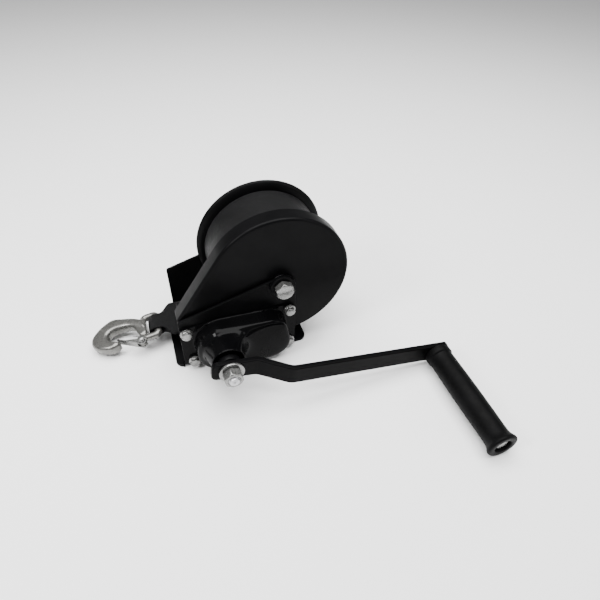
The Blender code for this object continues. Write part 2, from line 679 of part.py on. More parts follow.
def grip_set():
    at = (CRANK_LENGTH, 0, 0)
    back = ARM_FACE_Y + ARM_THICKNESS + GAP
    front = ARM_FACE_Y - GAP
    recess = GRIP_END_Y + 0.0065
    spindle = [
        (0, back + 0.0028), (0.0060, back + 0.0028), (0.0075, back), (0.0040, back), (0.0040, front),
        (0.0052, front), (0.0052, recess - 0.0020), (0.0078, recess - 0.0020), (0.0078, recess - 0.0038),
        (0.0070, recess - 0.0046), (0, recess - 0.0046),
    ]
    turned("grip_spindle", spindle, ZINC, arm_frame, at, 20)
    ring("grip_washer", 0.0055, 0.0088, recess - 0.0017, recess - GAP, ZINC, arm_frame, at, 20)
    bore = 0.0056
    grip = [
        (bore, GRIP_START_Y), (0.0146, GRIP_START_Y), (0.0146, GRIP_START_Y - 0.004),
        (GRIP_RADIUS - 0.0003, GRIP_START_Y - 0.008), (GRIP_RADIUS + 0.0002, GRIP_END_Y + 0.010),
        (GRIP_FLANGE_RADIUS - 0.0005, GRIP_END_Y + 0.004), (GRIP_FLANGE_RADIUS, GRIP_END_Y + 0.002),
        (GRIP_FLANGE_RADIUS - 0.0010, GRIP_END_Y), (0.0100, GRIP_END_Y), (0.0095, recess), (bore, recess),
    ]
    turned("handle_grip", grip, PLASTIC, grip_pivot)


def ratchet_set():
    far = RATCHET_NEAR_Y + RATCHET_WIDTH
    step = 2 * math.pi / RATCHET_TEETH
    face = PAWL_NOSE_ANGLE - (PAWL_NOSE_RADIUS + GAP) / PAWL_NOSE_REACH
    teeth = []
    for tooth in range(RATCHET_TEETH):
        angle = face + tooth * step
        for part in range(3):
            radius = RATCHET_ROOT + (RATCHET_TIP - RATCHET_ROOT) * part / 2
            along = angle + step * 0.97 * part / 2
            teeth.append((radius * math.cos(along), radius * math.sin(along)))
    outlines = [teeth, circle(0, 0, 0.0095)]
    plate("ratchet_wheel", outlines, RATCHET_NEAR_Y, far, STEEL, ratchet_pivot)
    ring("ratchet_bush", SHAFT_RADIUS + GAP, 0.0092, RATCHET_NEAR_Y, far, BRONZE, ratchet_pivot)


def pawl_set():
    x, z = pawl_place()
    pawl_pivot = pivot("pawl_pivot", (x, 0, z))
    out = Vector((math.cos(PAWL_NOSE_ANGLE), math.sin(PAWL_NOSE_ANGLE)))
    nose = Vector((CRANK_X, CRANK_Z)) + out * PAWL_NOSE_REACH - Vector((x, z))
    far = RATCHET_NEAR_Y + RATCHET_WIDTH
    outline = hull_outline([(0, 0, 0.007), (nose.x, nose.y, PAWL_NOSE_RADIUS)], 28)
    plate("pawl", [outline, circle(0, 0, 0.0043, SMALL_SIDES)], RATCHET_NEAR_Y, far, STEEL, pawl_pivot)
    pin = [
        (0, -0.0434), (0.0040, -0.0434), (0.0040, NEAR_WALL_Y - GAP), (0.0058, NEAR_WALL_Y - GAP),
        (0.0058, far + GAP), (0.0040, far + GAP), (0.0040, -0.0640), (0, -0.0640),
    ]
    turned("pawl_pin", pin, STEEL, None, (x, 0, z), SMALL_SIDES)
    ring("pawl_clip", 0.0043, 0.0068, RATCHET_NEAR_Y - 0.0015, RATCHET_NEAR_Y - GAP, ZINC, None, (x, 0, z), SMALL_SIDES)
    wire = 0.0005
    turns = coil(0.0068, 0.0014, 3, 0)
    leg_end = (turns[-1][0], turns[-1][1] - 0.009, turns[-1][2])
    start_leg = (turns[0][0], turns[0][1] + 0.008, turns[0][2])
    points = [start_leg, *turns, leg_end]
    spring = tube("pawl_spring", [(a, -0.0535 + c, b) for a, b, c in points], wire, ZINC)
    spring.location = (x, 0, z)


# Snap hook
def smooth_path(points, steps):
    """Catmull-Rom points through the given ones."""
    ends = [points[0]] + points + [points[-1]]
    path = []
    for i in range(1, len(ends) - 2):
        before, start, stop, after = (Vector(p) for p in ends[i - 1:i + 3])
        for step in range(steps):
            t = step / steps
            bend = (2 * before - 5 * start + 4 * stop - after) * t * t
            twist = (3 * start - before - 3 * stop + after) * t * t * t
            path.append((2 * start + (stop - before) * t + bend + twist) / 2)
    path.append(Vector(points[-1]))
    return path


def hook_outline():
    """The forged bar in plan: out along the shank, round the massive bend to the tip, and back inside."""
    root_far, root_near = (0.0140, -0.0100, 0), (0.0140, 0.0040, 0)
    outside = [(0.0240, -0.0170, 0), (0.0360, -0.0222, 0), (0.0495, -0.0262, 0), (0.0620, -0.0205, 0)]
    outside += [(0.0715, -0.0110, 0), (*HOOK_END, 0), (0.0730, 0.0070, 0), (0.0660, 0.0145, 0)]
    tip = [(0.0560, 0.0190, 0), (0.0490, 0.0193, 0), (0.0437, 0.0150, 0), (0.0445, 0.0105, 0)]
    inside = [(0.0490, 0.0085, 0), (0.0540, 0.0045, 0), (0.0560, -0.0010, 0), (0.0535, -0.0060, 0)]
    inside += [(0.0460, -0.0085, 0), (0.0340, -0.0075, 0), (0.0250, -0.0032, 0)]
    line = smooth_path([root_far, *outside, *tip, *inside, root_near], 3)
    return [(point.x, point.y) for point in line]


def hook_body():
    corner = 0.0045
    half = EYE_HALF_WIDTH - corner
    ring_line = []
    for u, v, start in ((EYE_LENGTH - corner, half, 0), (corner, half, 90), (corner, -half, 180), (EYE_LENGTH - corner, -half, 270)):
        for step in range(5):
            angle = math.radians(start + 90 * step / 4)
            ring_line.append((u + corner * math.cos(angle), v + corner * math.sin(angle), 0))
    body = tube("hook_body", ring_line, EYE_WIRE, ZINC, hook_pivot, closed=True)

    half = HOOK_HALF_HEIGHT
    shank = level_plate("shank", [hook_outline()], -half, half, ZINC, hook_pivot, edge=HOOK_EDGE)
    combine(body, shank, "UNION")
    root = [(0.0170, 0.0080, 0.0050), (0.0170, -0.0080, 0.0050), (0.0200, -0.0040, 0.0060)]
    block = level_plate("root", [hull_outline(root, 24)], -0.0054, 0.0054, ZINC, hook_pivot)
    combine(body, block, "UNION")
    lug = [(*LATCH_HINGE, 0.0036), (0.0170, 0.0090, 0.0040)]
    ear = level_plate("lug", [hull_outline(lug, 24)], -0.0022, 0.0022, ZINC, hook_pivot)
    combine(body, ear, "UNION")
    cutter = bolt_along_n("lug_hole", 0.0021, -0.01, 0.01, None, tools)
    return combine(body, cutter, "DIFFERENCE")


def bolt_along_n(name, radius, low, high, look, group=parts):
    """A round pin along the hook's normal, at the latch hinge."""
    outline = [circle(*LATCH_HINGE, radius, SMALL_SIDES)]
    return level_plate(name, outline, low, high, look, hook_pivot, group)


def latch_set():
    ear_low, ear_high, plate_half = 0.0025, 0.0037, 0.0042
    reach = Vector(LATCH_END) - Vector(LATCH_HINGE)
    length, lean = reach.length, math.atan2(reach.y, reach.x)

    def turned_outline(circles, count):
        turn = complex(math.cos(lean), math.sin(lean))
        spots = [(complex(x, y) * turn, radius) for x, y, radius in circles]
        return hull_outline([(spot.real, spot.imag, radius) for spot, radius in spots], count)

    back = turned_outline([(0.0062, 0.0026, 0.0007), (length, -0.0002, 0.0007)], 16)
    latch = level_plate("hook_latch", [back], -plate_half, plate_half, ZINC, latch_pivot)
    ear_outline = turned_outline([(0, 0, 0.0040), (0.0200, 0.0006, 0.0011)], 20)
    for low, high in ((ear_low, ear_high), (-ear_high, -ear_low)):
        ear = level_plate("ear", [ear_outline, circle(0, 0, 0.0021, SMALL_SIDES)], low, high, ZINC, latch_pivot)
        combine(latch, ear, "UNION")

    rivet = bolt_along_n("latch_rivet", 0.0018, -0.0050, 0.0088, ZINC)
    for low, high in ((-0.0054, -0.0040), (0.0084, 0.0096)):
        combine(rivet, bolt_along_n("head", 0.0034, low, high, ZINC), "UNION")

    turns = coil(0.0027, 0.0011, 3, lean - math.pi / 2)
    first, last = Vector(turns[0]), Vector(turns[-1])
    along = Vector((math.cos(lean), math.sin(lean), 0))
    points = [tuple(first - along * 0.004), *turns, tuple(last + along * 0.010)]
    tube("latch_spring", [(x, y, z + 0.0043) for x, y, z in points], 0.0005, ZINC, latch_pivot)


frame_channel()
gear_guard()
brake_cover()
cover_fasteners()
axle_set()
shaft_bushes()
drum()
strap_lead()
crank_shaft_set()
crank_arm()
grip_set()
ratchet_set()
pawl_set()
hook_body()
latch_set()
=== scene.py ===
"""Looks for the boat trailer winch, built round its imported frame.

Lengths are metres in the frame's axes: +X away from the strap's side, -Y the crank's side, +Z up.
"""
import json
import math

import bmesh
import bpy
from mathutils import Matrix, Vector
from mathutils.geometry import tessellate_polygon


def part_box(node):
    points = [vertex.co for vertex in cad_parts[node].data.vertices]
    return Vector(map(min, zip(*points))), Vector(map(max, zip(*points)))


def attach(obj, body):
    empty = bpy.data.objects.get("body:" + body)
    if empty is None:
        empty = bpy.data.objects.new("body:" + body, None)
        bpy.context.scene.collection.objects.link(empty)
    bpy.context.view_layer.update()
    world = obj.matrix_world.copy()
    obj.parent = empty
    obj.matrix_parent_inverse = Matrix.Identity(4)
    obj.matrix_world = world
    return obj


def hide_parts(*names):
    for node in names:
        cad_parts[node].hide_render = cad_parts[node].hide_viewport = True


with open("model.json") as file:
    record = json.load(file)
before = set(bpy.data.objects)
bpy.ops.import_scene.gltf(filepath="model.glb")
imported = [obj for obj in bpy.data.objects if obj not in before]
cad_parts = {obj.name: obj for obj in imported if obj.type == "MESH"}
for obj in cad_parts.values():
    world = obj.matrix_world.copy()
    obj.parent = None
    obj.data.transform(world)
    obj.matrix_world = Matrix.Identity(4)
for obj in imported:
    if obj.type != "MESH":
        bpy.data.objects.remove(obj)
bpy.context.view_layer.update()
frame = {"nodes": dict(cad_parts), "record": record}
JOINTS = {joint["name"]: joint for joint in frame["record"]["behaviour"]["joints"]}
GAP = 0.0003


def joint_place(name):
    return Vector(JOINTS[name]["pos_m"])


DRUM = joint_place("drum_spin")
CRANK = joint_place("crank_spin")
EYE_BAR = joint_place("hook_swing")
CRANK_REST = math.radians(-7.2)

# The hook's plane: u along it from the eye's bar, v across it towards -Y, and the normal up.
HOOK_NORMAL = -Vector(JOINTS["latch_pivot"]["axis"])
HOOK_ALONG = Vector((-HOOK_NORMAL.z, 0, HOOK_NORMAL.x))
HOOK_AXES = Matrix((HOOK_ALONG, Vector((0, -1, 0)), HOOK_NORMAL)).transposed()

# Sizes that several pieces share
AXLE_BORE = 0.0063
SHAFT_BORE = 0.0073
M6_HOLE = 0.0033
DRUM_BORE = 0.0125
FLANGE_RADIUS = 0.0738
BARREL_RADIUS = 0.0243
ROLL_RADIUS = 0.0666
STRAP_WIDTH = 0.050
STRAP_MIDDLE = 0.008
LAYER = 0.0022
WEAVE_THICKNESS = 0.0020
LOOP_WIDTH = 0.0226
EYE_WIRE = 0.0042


# Camera, light and floor
def camera():
    right = Vector((0.94649944, -0.32061958, 0.03663185))
    down = Vector((-0.1941539, -0.65644678, -0.72895945))
    forward = right.cross(down)
    eye = bpy.data.objects.new("camera", bpy.data.cameras.new("camera"))
    bpy.context.scene.collection.objects.link(eye)
    turn = Matrix((right, -down, -forward)).transposed().to_4x4()
    eye.matrix_world = Matrix.Translation((-0.067556, -0.398402, 0.419365)) @ turn
    eye.data.sensor_width = 36
    eye.data.lens = 28.27
    eye.data.clip_start = 0.01
    bpy.context.scene.camera = eye


def softbox(name, place, aim, size, power):
    lamp = bpy.data.lights.new(name, "AREA")
    lamp.shape = "RECTANGLE"
    lamp.size, lamp.size_y = size
    lamp.energy = power
    made = bpy.data.objects.new(name, lamp)
    bpy.context.scene.collection.objects.link(made)
    made.location = place
    made.rotation_euler = (Vector(aim) - Vector(place)).to_track_quat("-Z", "Y").to_euler()


def stage():
    world = bpy.data.worlds.new("studio")
    bpy.context.scene.world = world
    world.use_nodes = True
    background = world.node_tree.nodes["Background"]
    background.inputs["Color"].default_value = (1, 1, 1, 1)
    background.inputs["Strength"].default_value = 0.35
    middle = (0.03, -0.05, 0.06)
    softbox("overhead", (0.05, 0.05, 1.3), middle, (1.6, 1.2), 56)
    softbox("key", (-0.75, -0.25, 0.8), middle, (0.26, 0.26), 8)
    softbox("side", (1.0, -0.6, 0.6), middle, (0.4, 0.5), 3)
    mesh = bpy.data.meshes.new("floor")
    reach, drop = 6, 0.0005
    corners = [(-reach, -reach), (reach, -reach), (reach, reach), (-reach, reach)]
    mesh.from_pydata([(x, y, -drop) for x, y in corners], [], [(0, 1, 2, 3)])
    floor = bpy.data.objects.new("floor", mesh)
    bpy.context.scene.collection.objects.link(floor)
    paint = bpy.data.materials.new("floor_paint")
    paint.use_nodes = True
    shader = paint.node_tree.nodes["Principled BSDF"]
    shader.inputs["Base Color"].default_value = (0.96, 0.96, 0.96, 1)
    shader.inputs["Roughness"].default_value = 0.7
    mesh.materials.append(paint)


# Materials
class Finish:
    """A material's nodes, added to step by step from metre coordinates."""

    def __init__(self, name, metallic=0.0, **sockets):
        self.material = bpy.data.materials.new(name)
        self.material.use_nodes = True
        self.tree = self.material.node_tree
        self.shader = self.tree.nodes["Principled BSDF"]
        self.shader.inputs["Metallic"].default_value = metallic
        for socket, value in sockets.items():
            self.shader.inputs[socket.replace("_", " ")].default_value = value
        self.place = self.tree.nodes.new("ShaderNodeTexCoord").outputs["Object"]
        self.height = None

    def node(self, kind, values=(), **settings):
        made = self.tree.nodes.new("ShaderNode" + kind)
        for setting, value in settings.items():
            setattr(made, setting, value)
        for socket, value in dict(values).items():
            if isinstance(value, bpy.types.NodeSocket):
                self.tree.links.new(value, made.inputs[socket])
            else:
                made.inputs[socket].default_value = value
        return made

    def noise(self, size, detail=3.0, stretch=None, roughness=0.5):
        place = self.place
        if stretch:
            place = self.node("Mapping", {"Vector": place, "Scale": stretch}).outputs[0]
        values = {"Vector": place, "Scale": 1 / size, "Detail": detail, "Roughness": roughness}
        return self.node("TexNoise", values).outputs["Fac"]

    def math(self, operation, *values):
        return self.node("Math", enumerate(values), operation=operation).outputs[0]

    def spread(self, value, low, high, start=0.3, stop=0.7):
        sockets = {"Value": value, "From Min": start, "From Max": stop, "To Min": low, "To Max": high}
        return self.node("MapRange", sockets).outputs["Result"]

    def colour(self, value, *stops):
        ramp = self.node("ValToRGB", {"Fac": value})
        elements = ramp.color_ramp.elements
        for _ in range(len(stops) - 2):
            elements.new(0.5)
        for element, (position, shade) in zip(elements, stops):
            element.position = position
            element.color = (*shade, 1)
        self.tree.links.new(ramp.outputs["Color"], self.shader.inputs["Base Color"])
        return self

    def rough(self, value, low, high, start=0.3, stop=0.7):
        self.tree.links.new(self.spread(value, low, high, start, stop), self.shader.inputs["Roughness"])
        return self

    def bump(self, height, distance, strength=1.0):
        values = {"Height": height, "Distance": distance, "Strength": strength}
        if self.height:
            values["Normal"] = self.height
        self.height = self.node("Bump", values).outputs["Normal"]
        self.tree.links.new(self.height, self.shader.inputs["Normal"])
        return self


def coat(name, low, high, rough_low, rough_high, peel, **sockets):
    """Paint: faint mottling, patchy gloss and orange peel at a fine and a broad scale."""
    made = Finish(name, **sockets)
    made.colour(made.noise(0.035, 4), (0.32, low), (0.68, high))
    made.rough(made.noise(0.012, 5), rough_low, rough_high)
    made.bump(made.noise(0.0011, 2), peel)
    return made.bump(made.noise(0.014, 2), peel * 2).material


def metal(name, dark, light, rough_low, rough_high, grain, stretch=None, metallic=1.0):
    """Plated or machined metal: cloudy tone, uneven gloss and a fine grain."""
    made = Finish(name, metallic)
    made.colour(made.noise(0.009, 5), (0.3, dark), (0.7, light))
    made.rough(made.noise(0.004, 5), rough_low, rough_high)
    made.bump(made.noise(0.0006, 3, stretch), grain)
    return made.bump(made.noise(0.006, 2), grain * 3).material


def woven(name):
    """Webbing: ribs of warp crossed by weft, from its own map in metres across and along."""
    made = Finish(name, Sheen_Weight=0.01, Sheen_Roughness=0.4, Specular_IOR_Level=0.11)
    split = made.node("SeparateXYZ", {"Vector": made.node("UVMap", uv_map="weave").outputs["UV"]})
    across, along = split.outputs["X"], split.outputs["Y"]
    rib, pick = 0.0016, 0.0013
    warp = made.math("SINE", made.math("MULTIPLY", across, 2 * math.pi / rib))
    weft = made.math("MULTIPLY", along, 2 * math.pi / pick)
    lean = made.math("ADD", weft, made.math("MULTIPLY", warp, 1.4))
    rise = made.math("MULTIPLY", made.math("SINE", lean), 0.5)
    weave = made.math("ADD", rise, made.math("ABSOLUTE", warp))
    made.bump(weave, 0.00016)
    made.bump(made.noise(0.020, 3), 0.0003)
    tone = made.math("ADD", made.math("MULTIPLY", weave, 0.12), made.noise(0.03, 4))
    made.colour(tone, (0.35, (0.0010, 0.0010, 0.0012)), (0.80, (0.0035, 0.0035, 0.0038)))
    return made.rough(made.noise(0.030, 3), 0.34, 0.58).material


def moulded(name):
    """Black plastic: a fine texture under a satin surface."""
    made = Finish(name, Specular_IOR_Level=0.045)
    made.colour(made.noise(0.02, 4), (0.35, (0.0015, 0.0015, 0.0016)), (0.70, (0.0026, 0.0026, 0.0028)))
    made.rough(made.noise(0.005, 5), 0.42, 0.58)
    made.bump(made.noise(0.0007, 2), 0.00005)
    return made.bump(made.noise(0.010, 2), 0.00008).material


POWDER = coat(
    "black_powder_coat", (0.0015, 0.0015, 0.0017), (0.003, 0.003, 0.0033), 0.30, 0.42, 0.00003,
    Specular_IOR_Level=0.03, Coat_Weight=0.04, Coat_Roughness=0.34,
)
GLOSS = coat(
    "black_gloss_coat", (0.0012, 0.0012, 0.0014), (0.0022, 0.0022, 0.0024), 0.20, 0.28, 0.000012,
    Specular_IOR_Level=0.012, Coat_Weight=0.09, Coat_Roughness=0.10,
)
# A darker copy of the black powder coat for the crank arm only: its lower colour and weaker gloss are
# painted shade, holding back the floor's bounce light near the floor.
SHADED_ARM_COAT = coat(
    "black_coat_painted_shade", (0.0012, 0.0012, 0.0014), (0.0022, 0.0022, 0.0024), 0.32, 0.44, 0.00003,
    Specular_IOR_Level=0.02, Coat_Weight=0.03, Coat_Roughness=0.36,
)
ZINC = metal("bright_zinc", (0.18, 0.18, 0.176), (0.24, 0.24, 0.235), 0.22, 0.32, 0.00001, metallic=0.85)
CAST_ZINC = metal(
    "zinc_on_forging", (0.125, 0.124, 0.117), (0.155, 0.153, 0.145), 0.24, 0.32, 0.00001, metallic=0.75,
)
STEEL = metal("machined_steel", (0.30, 0.30, 0.31), (0.48, 0.48, 0.49), 0.24, 0.42, 0.00003, (1, 0.15, 1))
BRONZE = metal("oiled_bronze", (0.40, 0.25, 0.10), (0.60, 0.40, 0.18), 0.28, 0.45, 0.00003)
LINING = coat("brake_lining", (0.10, 0.06, 0.04), (0.20, 0.13, 0.09), 0.8, 0.95, 0.0001)
WEBBING = woven("black_webbing")
PLASTIC = moulded("black_plastic")
THREAD = coat("sewing_thread", (0.03, 0.03, 0.032), (0.05, 0.05, 0.052), 0.6, 0.8, 0.00005)


# Meshes
def solid(shape, name="scratch"):
    """A bmesh made an object, by itself a passing one for its modifiers."""
    bmesh.ops.remove_doubles(shape, verts=shape.verts, dist=2e-6)
    bmesh.ops.recalc_face_normals(shape, faces=shape.faces)
    mesh = bpy.data.meshes.new(name)
    shape.to_mesh(mesh)
    shape.free()
    made = bpy.data.objects.new(name, mesh)
    bpy.context.scene.collection.objects.link(made)
    return made


def piece(name, shape, look, body, slot, *nodes, sharp=None):
    """A visible piece: smooth shaded, riding on a body and standing for CAD nodes."""
    made = solid(shape, name)
    made.data.materials.append(look)
    made.data.shade_smooth()
    if sharp:
        made.data.set_sharp_from_angle(angle=math.radians(sharp))
    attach(made, body)
    if nodes:
        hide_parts(*nodes)
    return made


def even(made):
    """Flat faces keep a flat look beside their rounded edges."""
    modifier = made.modifiers.new("even", "WEIGHTED_NORMAL")
    modifier.weight = 90
    modifier.keep_sharp = True
    return made


def hull(circles, count=96):
    """The outer line round circles (a, b, radius), counter-clockwise."""
    points = []
    for step in range(count):
        angle = 2 * math.pi * (step + 0.5) / count
        way = Vector((math.cos(angle), math.sin(angle)))
        a, b, radius = max(circles, key=lambda c: c[0] * way.x + c[1] * way.y + c[2])
        points.append(Vector((a, b)) + way * radius)
    return points


def circle(a, b, radius, count=48):
    return hull([(a, b, radius)], count)


def inset(outline, amount):
    """The outline moved to its left, which is into the material."""
    moved = []
    for i, point in enumerate(outline):
        before = (point - outline[i - 1]).normalized()
        after = (outline[(i + 1) % len(outline)] - point).normalized()
        left = Vector((-before.y - after.y, before.x + after.x))
        moved.append(point + left * amount / (1 + max(before.dot(after), -0.5)))
    return moved


def strip(shape, lower, upper):
    """Quads between two closed rings of vertices."""
    for i in range(len(lower)):
        after = (i + 1) % len(lower)
        shape.faces.new((lower[i], lower[after], upper[after], upper[i]))


def solid_plate(outlines, thickness, edge, steps=3):
    """A plate in (a, b), its depth from 0 to thickness, edges rounded; the first outline is outside."""
    shape = bmesh.new()
    lines = [list(outlines[0])] + [list(reversed(hole)) for hole in outlines[1:]]
    section = []
    for step in range(steps + 1):
        angle = math.pi / 2 * step / steps
        section.append((edge * (1 - math.sin(angle)), edge * (1 - math.cos(angle))))
    section += [(amount, thickness - depth) for amount, depth in reversed(section)]
    caps = ([], [])
    for line in lines:
        rings = []
        for amount, depth in section:
            points = inset(line, amount)
            rings.append([shape.verts.new((*point, depth)) for point in points])
        for lower, upper in zip(rings, rings[1:]):
            strip(shape, lower, upper)
        caps[0].append(rings[0])
        caps[1].append(rings[-1])
    for cap in caps:
        verts = [vert for ring in cap for vert in ring]
        triangles = tessellate_polygon([[vert.co for vert in ring] for ring in cap])
        for triangle in triangles:
            corners = [verts[i] for i in triangle]
            if (corners[1].co - corners[0].co).cross(corners[2].co - corners[0].co).length > 1e-12:
                shape.faces.new(corners)
    return shape


def bend(shape, cuts, place):
    """Cuts a flat plate across at (axis, value) and moves each vertex to its place."""
    for axis, value in cuts:
        point, normal = [0, 0, 0], [0, 0, 0]
        point[axis], normal[axis] = value, 1
        everything = shape.verts[:] + shape.edges[:] + shape.faces[:]
        bmesh.ops.bisect_plane(shape, geom=everything, plane_co=point, plane_no=normal, dist=1e-6)
    for vert in shape.verts:
        vert.co = place(*vert.co)
    return shape


def upright(low):
    """Places a plate drawn in X and Z, with its depth along Y from low."""
    return lambda a, b, t: Vector((a, low + t, b))


def around(place, radius, angle, y):
    """The point at a radius and angle round an axis along Y."""
    return Vector((place[0] + radius * math.cos(angle), y, place[2] + radius * math.sin(angle)))


def lathe(profile, place=(0, 0, 0), sides=64):
    """A turned solid along Y: profile of (radius, y), closed, or from one point on the axis to another."""
    shape = bmesh.new()
    angles = [2 * math.pi * (i + 0.5) / sides for i in range(sides)]
    closed = all(radius > 0 for radius, _ in profile)
    rings = []
    for radius, y in profile:
        if radius == 0:
            rings.append([shape.verts.new(around(place, 0, 0, y))] * sides)
            continue
        rings.append([shape.verts.new(around(place, radius, angle, y)) for angle in angles])
    pairs = list(zip(rings, rings[1:]))
    if closed:
        pairs.append((rings[-1], rings[0]))
    for lower, upper in pairs:
        for i in range(sides):
            after = (i + 1) % sides
            corners = dict.fromkeys((lower[i], lower[after], upper[after], upper[i]))
            shape.faces.new(list(corners))
    return shape


def rounded(profile, edge=0.0004, steps=2):
    """A profile with each corner off the axis rounded."""
    closed = all(radius > 0 for radius, _ in profile)
    points = [Vector(point) for point in profile]
    made = []
    for i, point in enumerate(points):
        if not closed and i in (0, len(points) - 1):
            made.append(tuple(point))
            continue
        before, after = points[i - 1] - point, points[(i + 1) % len(points)] - point
        reach = min(edge, before.length * 0.45, after.length * 0.45)
        start, stop = point + before.normalized() * reach, point + after.normalized() * reach
        for step in range(steps + 1):
            t = step / steps
            made.append(tuple(start * (1 - t) ** 2 + point * 2 * t * (1 - t) + stop * t * t))
    return made


def hexagon(across, low, high, place, turn=0.0, bore=None, chamfers=(True, True)):
    """A nut or head along Y with turned chamfers; low and high are its ends."""
    shape = bmesh.new()
    sides = 96
    angles = [2 * math.pi * i / sides for i in range(sides)]
    corner = across / math.sqrt(3)
    depth = (corner - across / 2) * 1.15
    crown = across / 2 * 0.975
    levels = []
    for end, inward, cut in ((low, 1, chamfers[0]), (high, -1, chamfers[1])):
        limits = [(0.0, across / 2 * 0.955)] if cut else [(0.0, corner)]
        if cut:
            limits += [(depth * k / 6, crown + (corner - crown) * k / 6) for k in range(1, 7)]
        levels.append([(end + inward * step, limit) for step, limit in limits])
    ordered = levels[0] + levels[1][::-1]
    rings = []
    for y, limit in ordered:
        ring = []
        for angle in angles:
            within = (angle - turn) % (math.pi / 3) - math.pi / 6
            radius = min(across / 2 / math.cos(within), limit)
            ring.append(shape.verts.new(around(place, radius, angle, y)))
        rings.append(ring)
    for lower, upper in zip(rings, rings[1:]):
        strip(shape, lower, upper)
    if bore:
        inner = []
        mouth, sink = bore * 1.08, bore * 0.08
        for y, radius in ((low, mouth), (low + sink, bore), (high - sink, bore), (high, mouth)):
            inner.append([shape.verts.new(around(place, radius, angle, y)) for angle in angles])
        for lower, upper in zip(inner, inner[1:]):
            strip(shape, lower, upper)
        strip(shape, rings[0], inner[0])
        strip(shape, rings[-1], inner[-1])
    else:
        shape.faces.new(rings[0])
        shape.faces.new(rings[-1])
    return shape


def thread(radius, start, stop, pitch, depth):
    """Profile points of a screw thread from y start to stop."""
    count = max(1, round(abs(stop - start) / pitch))
    step = (stop - start) / count
    points = []
    for i in range(count):
        y = start + step * i
        points += [(radius - depth, y + step * 0.06), (radius, y + step * 0.44), (radius, y + step * 0.56)]
        points.append((radius - depth, y + step * 0.94))
    return points


def sweep(points, radius, sides=16, closed=False, shape=None):
    """A round wire along points."""
    shape = shape or bmesh.new()
    points = [Vector(point) for point in points]
    count = len(points)
    rings = []
    normal = None
    for i, point in enumerate(points):
        before = points[i - 1] if closed or i else point
        after = points[(i + 1) % count] if closed or i < count - 1 else point
        along = (after - before).normalized()
        if normal is None:
            normal = along.orthogonal().normalized()
        normal = (normal - along * normal.dot(along)).normalized()
        side = along.cross(normal)
        ring = []
        for step in range(sides):
            angle = 2 * math.pi * step / sides
            out = normal * math.cos(angle) + side * math.sin(angle)
            ring.append(shape.verts.new(point + out * radius))
        rings.append(ring)
    for lower, upper in zip(rings, rings[1:]):
        strip(shape, lower, upper)
    if closed:
        turn = min(range(sides), key=lambda s: (rings[0][s].co - rings[-1][0].co).length)
        strip(shape, rings[-1], rings[0][turn:] + rings[0][:turn])
    else:
        shape.faces.new(rings[0])
        shape.faces.new(rings[-1])
    return shape


def applied(made):
    """The object's mesh with its modifiers, as a bmesh; the object is used up."""
    bpy.context.view_layer.update()
    evaluated = made.evaluated_get(bpy.context.evaluated_depsgraph_get())
    mesh = bpy.data.meshes.new_from_object(evaluated)
    shape = bmesh.new()
    shape.from_mesh(mesh)
    bpy.data.objects.remove(made, do_unlink=True)
    bpy.data.meshes.remove(mesh)
    return shape


def joined(shape, *others, operation="UNION"):
    """Exact Booleans of a bmesh with others, one after another."""
    for other in others:
        made, tool = solid(shape), solid(other)
        boolean = made.modifiers.new("join", "BOOLEAN")
        boolean.object = tool
        boolean.operation = operation
        boolean.solver = "EXACT"
        shape = applied(made)
        bpy.data.objects.remove(tool, do_unlink=True)
    return shape


def span(node):
    """Where a CAD node begins and ends along Y."""
    return [corner[1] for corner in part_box(node)]


def ring(name, inner, outer, place, look, body, slot, edge=0.0004):
    """A washer or spacer that replaces the CAD node of its name."""
    low, high = span(name)
    profile = rounded([(inner, high), (outer, high), (outer, low), (inner, low)], edge)
    return piece(name + "_turned", lathe(profile, place), look, body, slot, name, sharp=50)


# Frame
SHEET = 0.003
FOLD = 0.005
HALF_WIDTH = 0.0463
FLAT = HALF_WIDTH - FOLD
NEUTRAL = FOLD - SHEET / 2
ARC = NEUTRAL * math.pi / 2
WALL_FRONT, WALL_BACK = -0.0669, 0.060
CORNER_CUT = 0.0006
COVER_SHEET = 0.0018
COVER_BOLTS = ((-0.0600, 0.0535), (0.0525, 0.0585), (-0.0560, 0.0105), (0.0525, 0.0096))


def unfolded(z):
    """How far from the base's centre line a height on a wall lies before folding."""
    return FLAT + ARC + z - FOLD


def fold(x, across, depth):
    """Where a point of the flat blank lies once the walls are folded up."""
    side, reach = math.copysign(1, across), abs(across)
    if reach <= FLAT or not WALL_FRONT - 0.0004 < x < WALL_BACK + 0.0004:
        return Vector((x, across, depth))
    angle = min((reach - FLAT) / NEUTRAL, math.pi / 2)
    radius = FOLD - depth
    rise = max(0.0, reach - FLAT - ARC)
    return Vector((x, side * (FLAT + radius * math.sin(angle)), FOLD - radius * math.cos(angle) + rise))


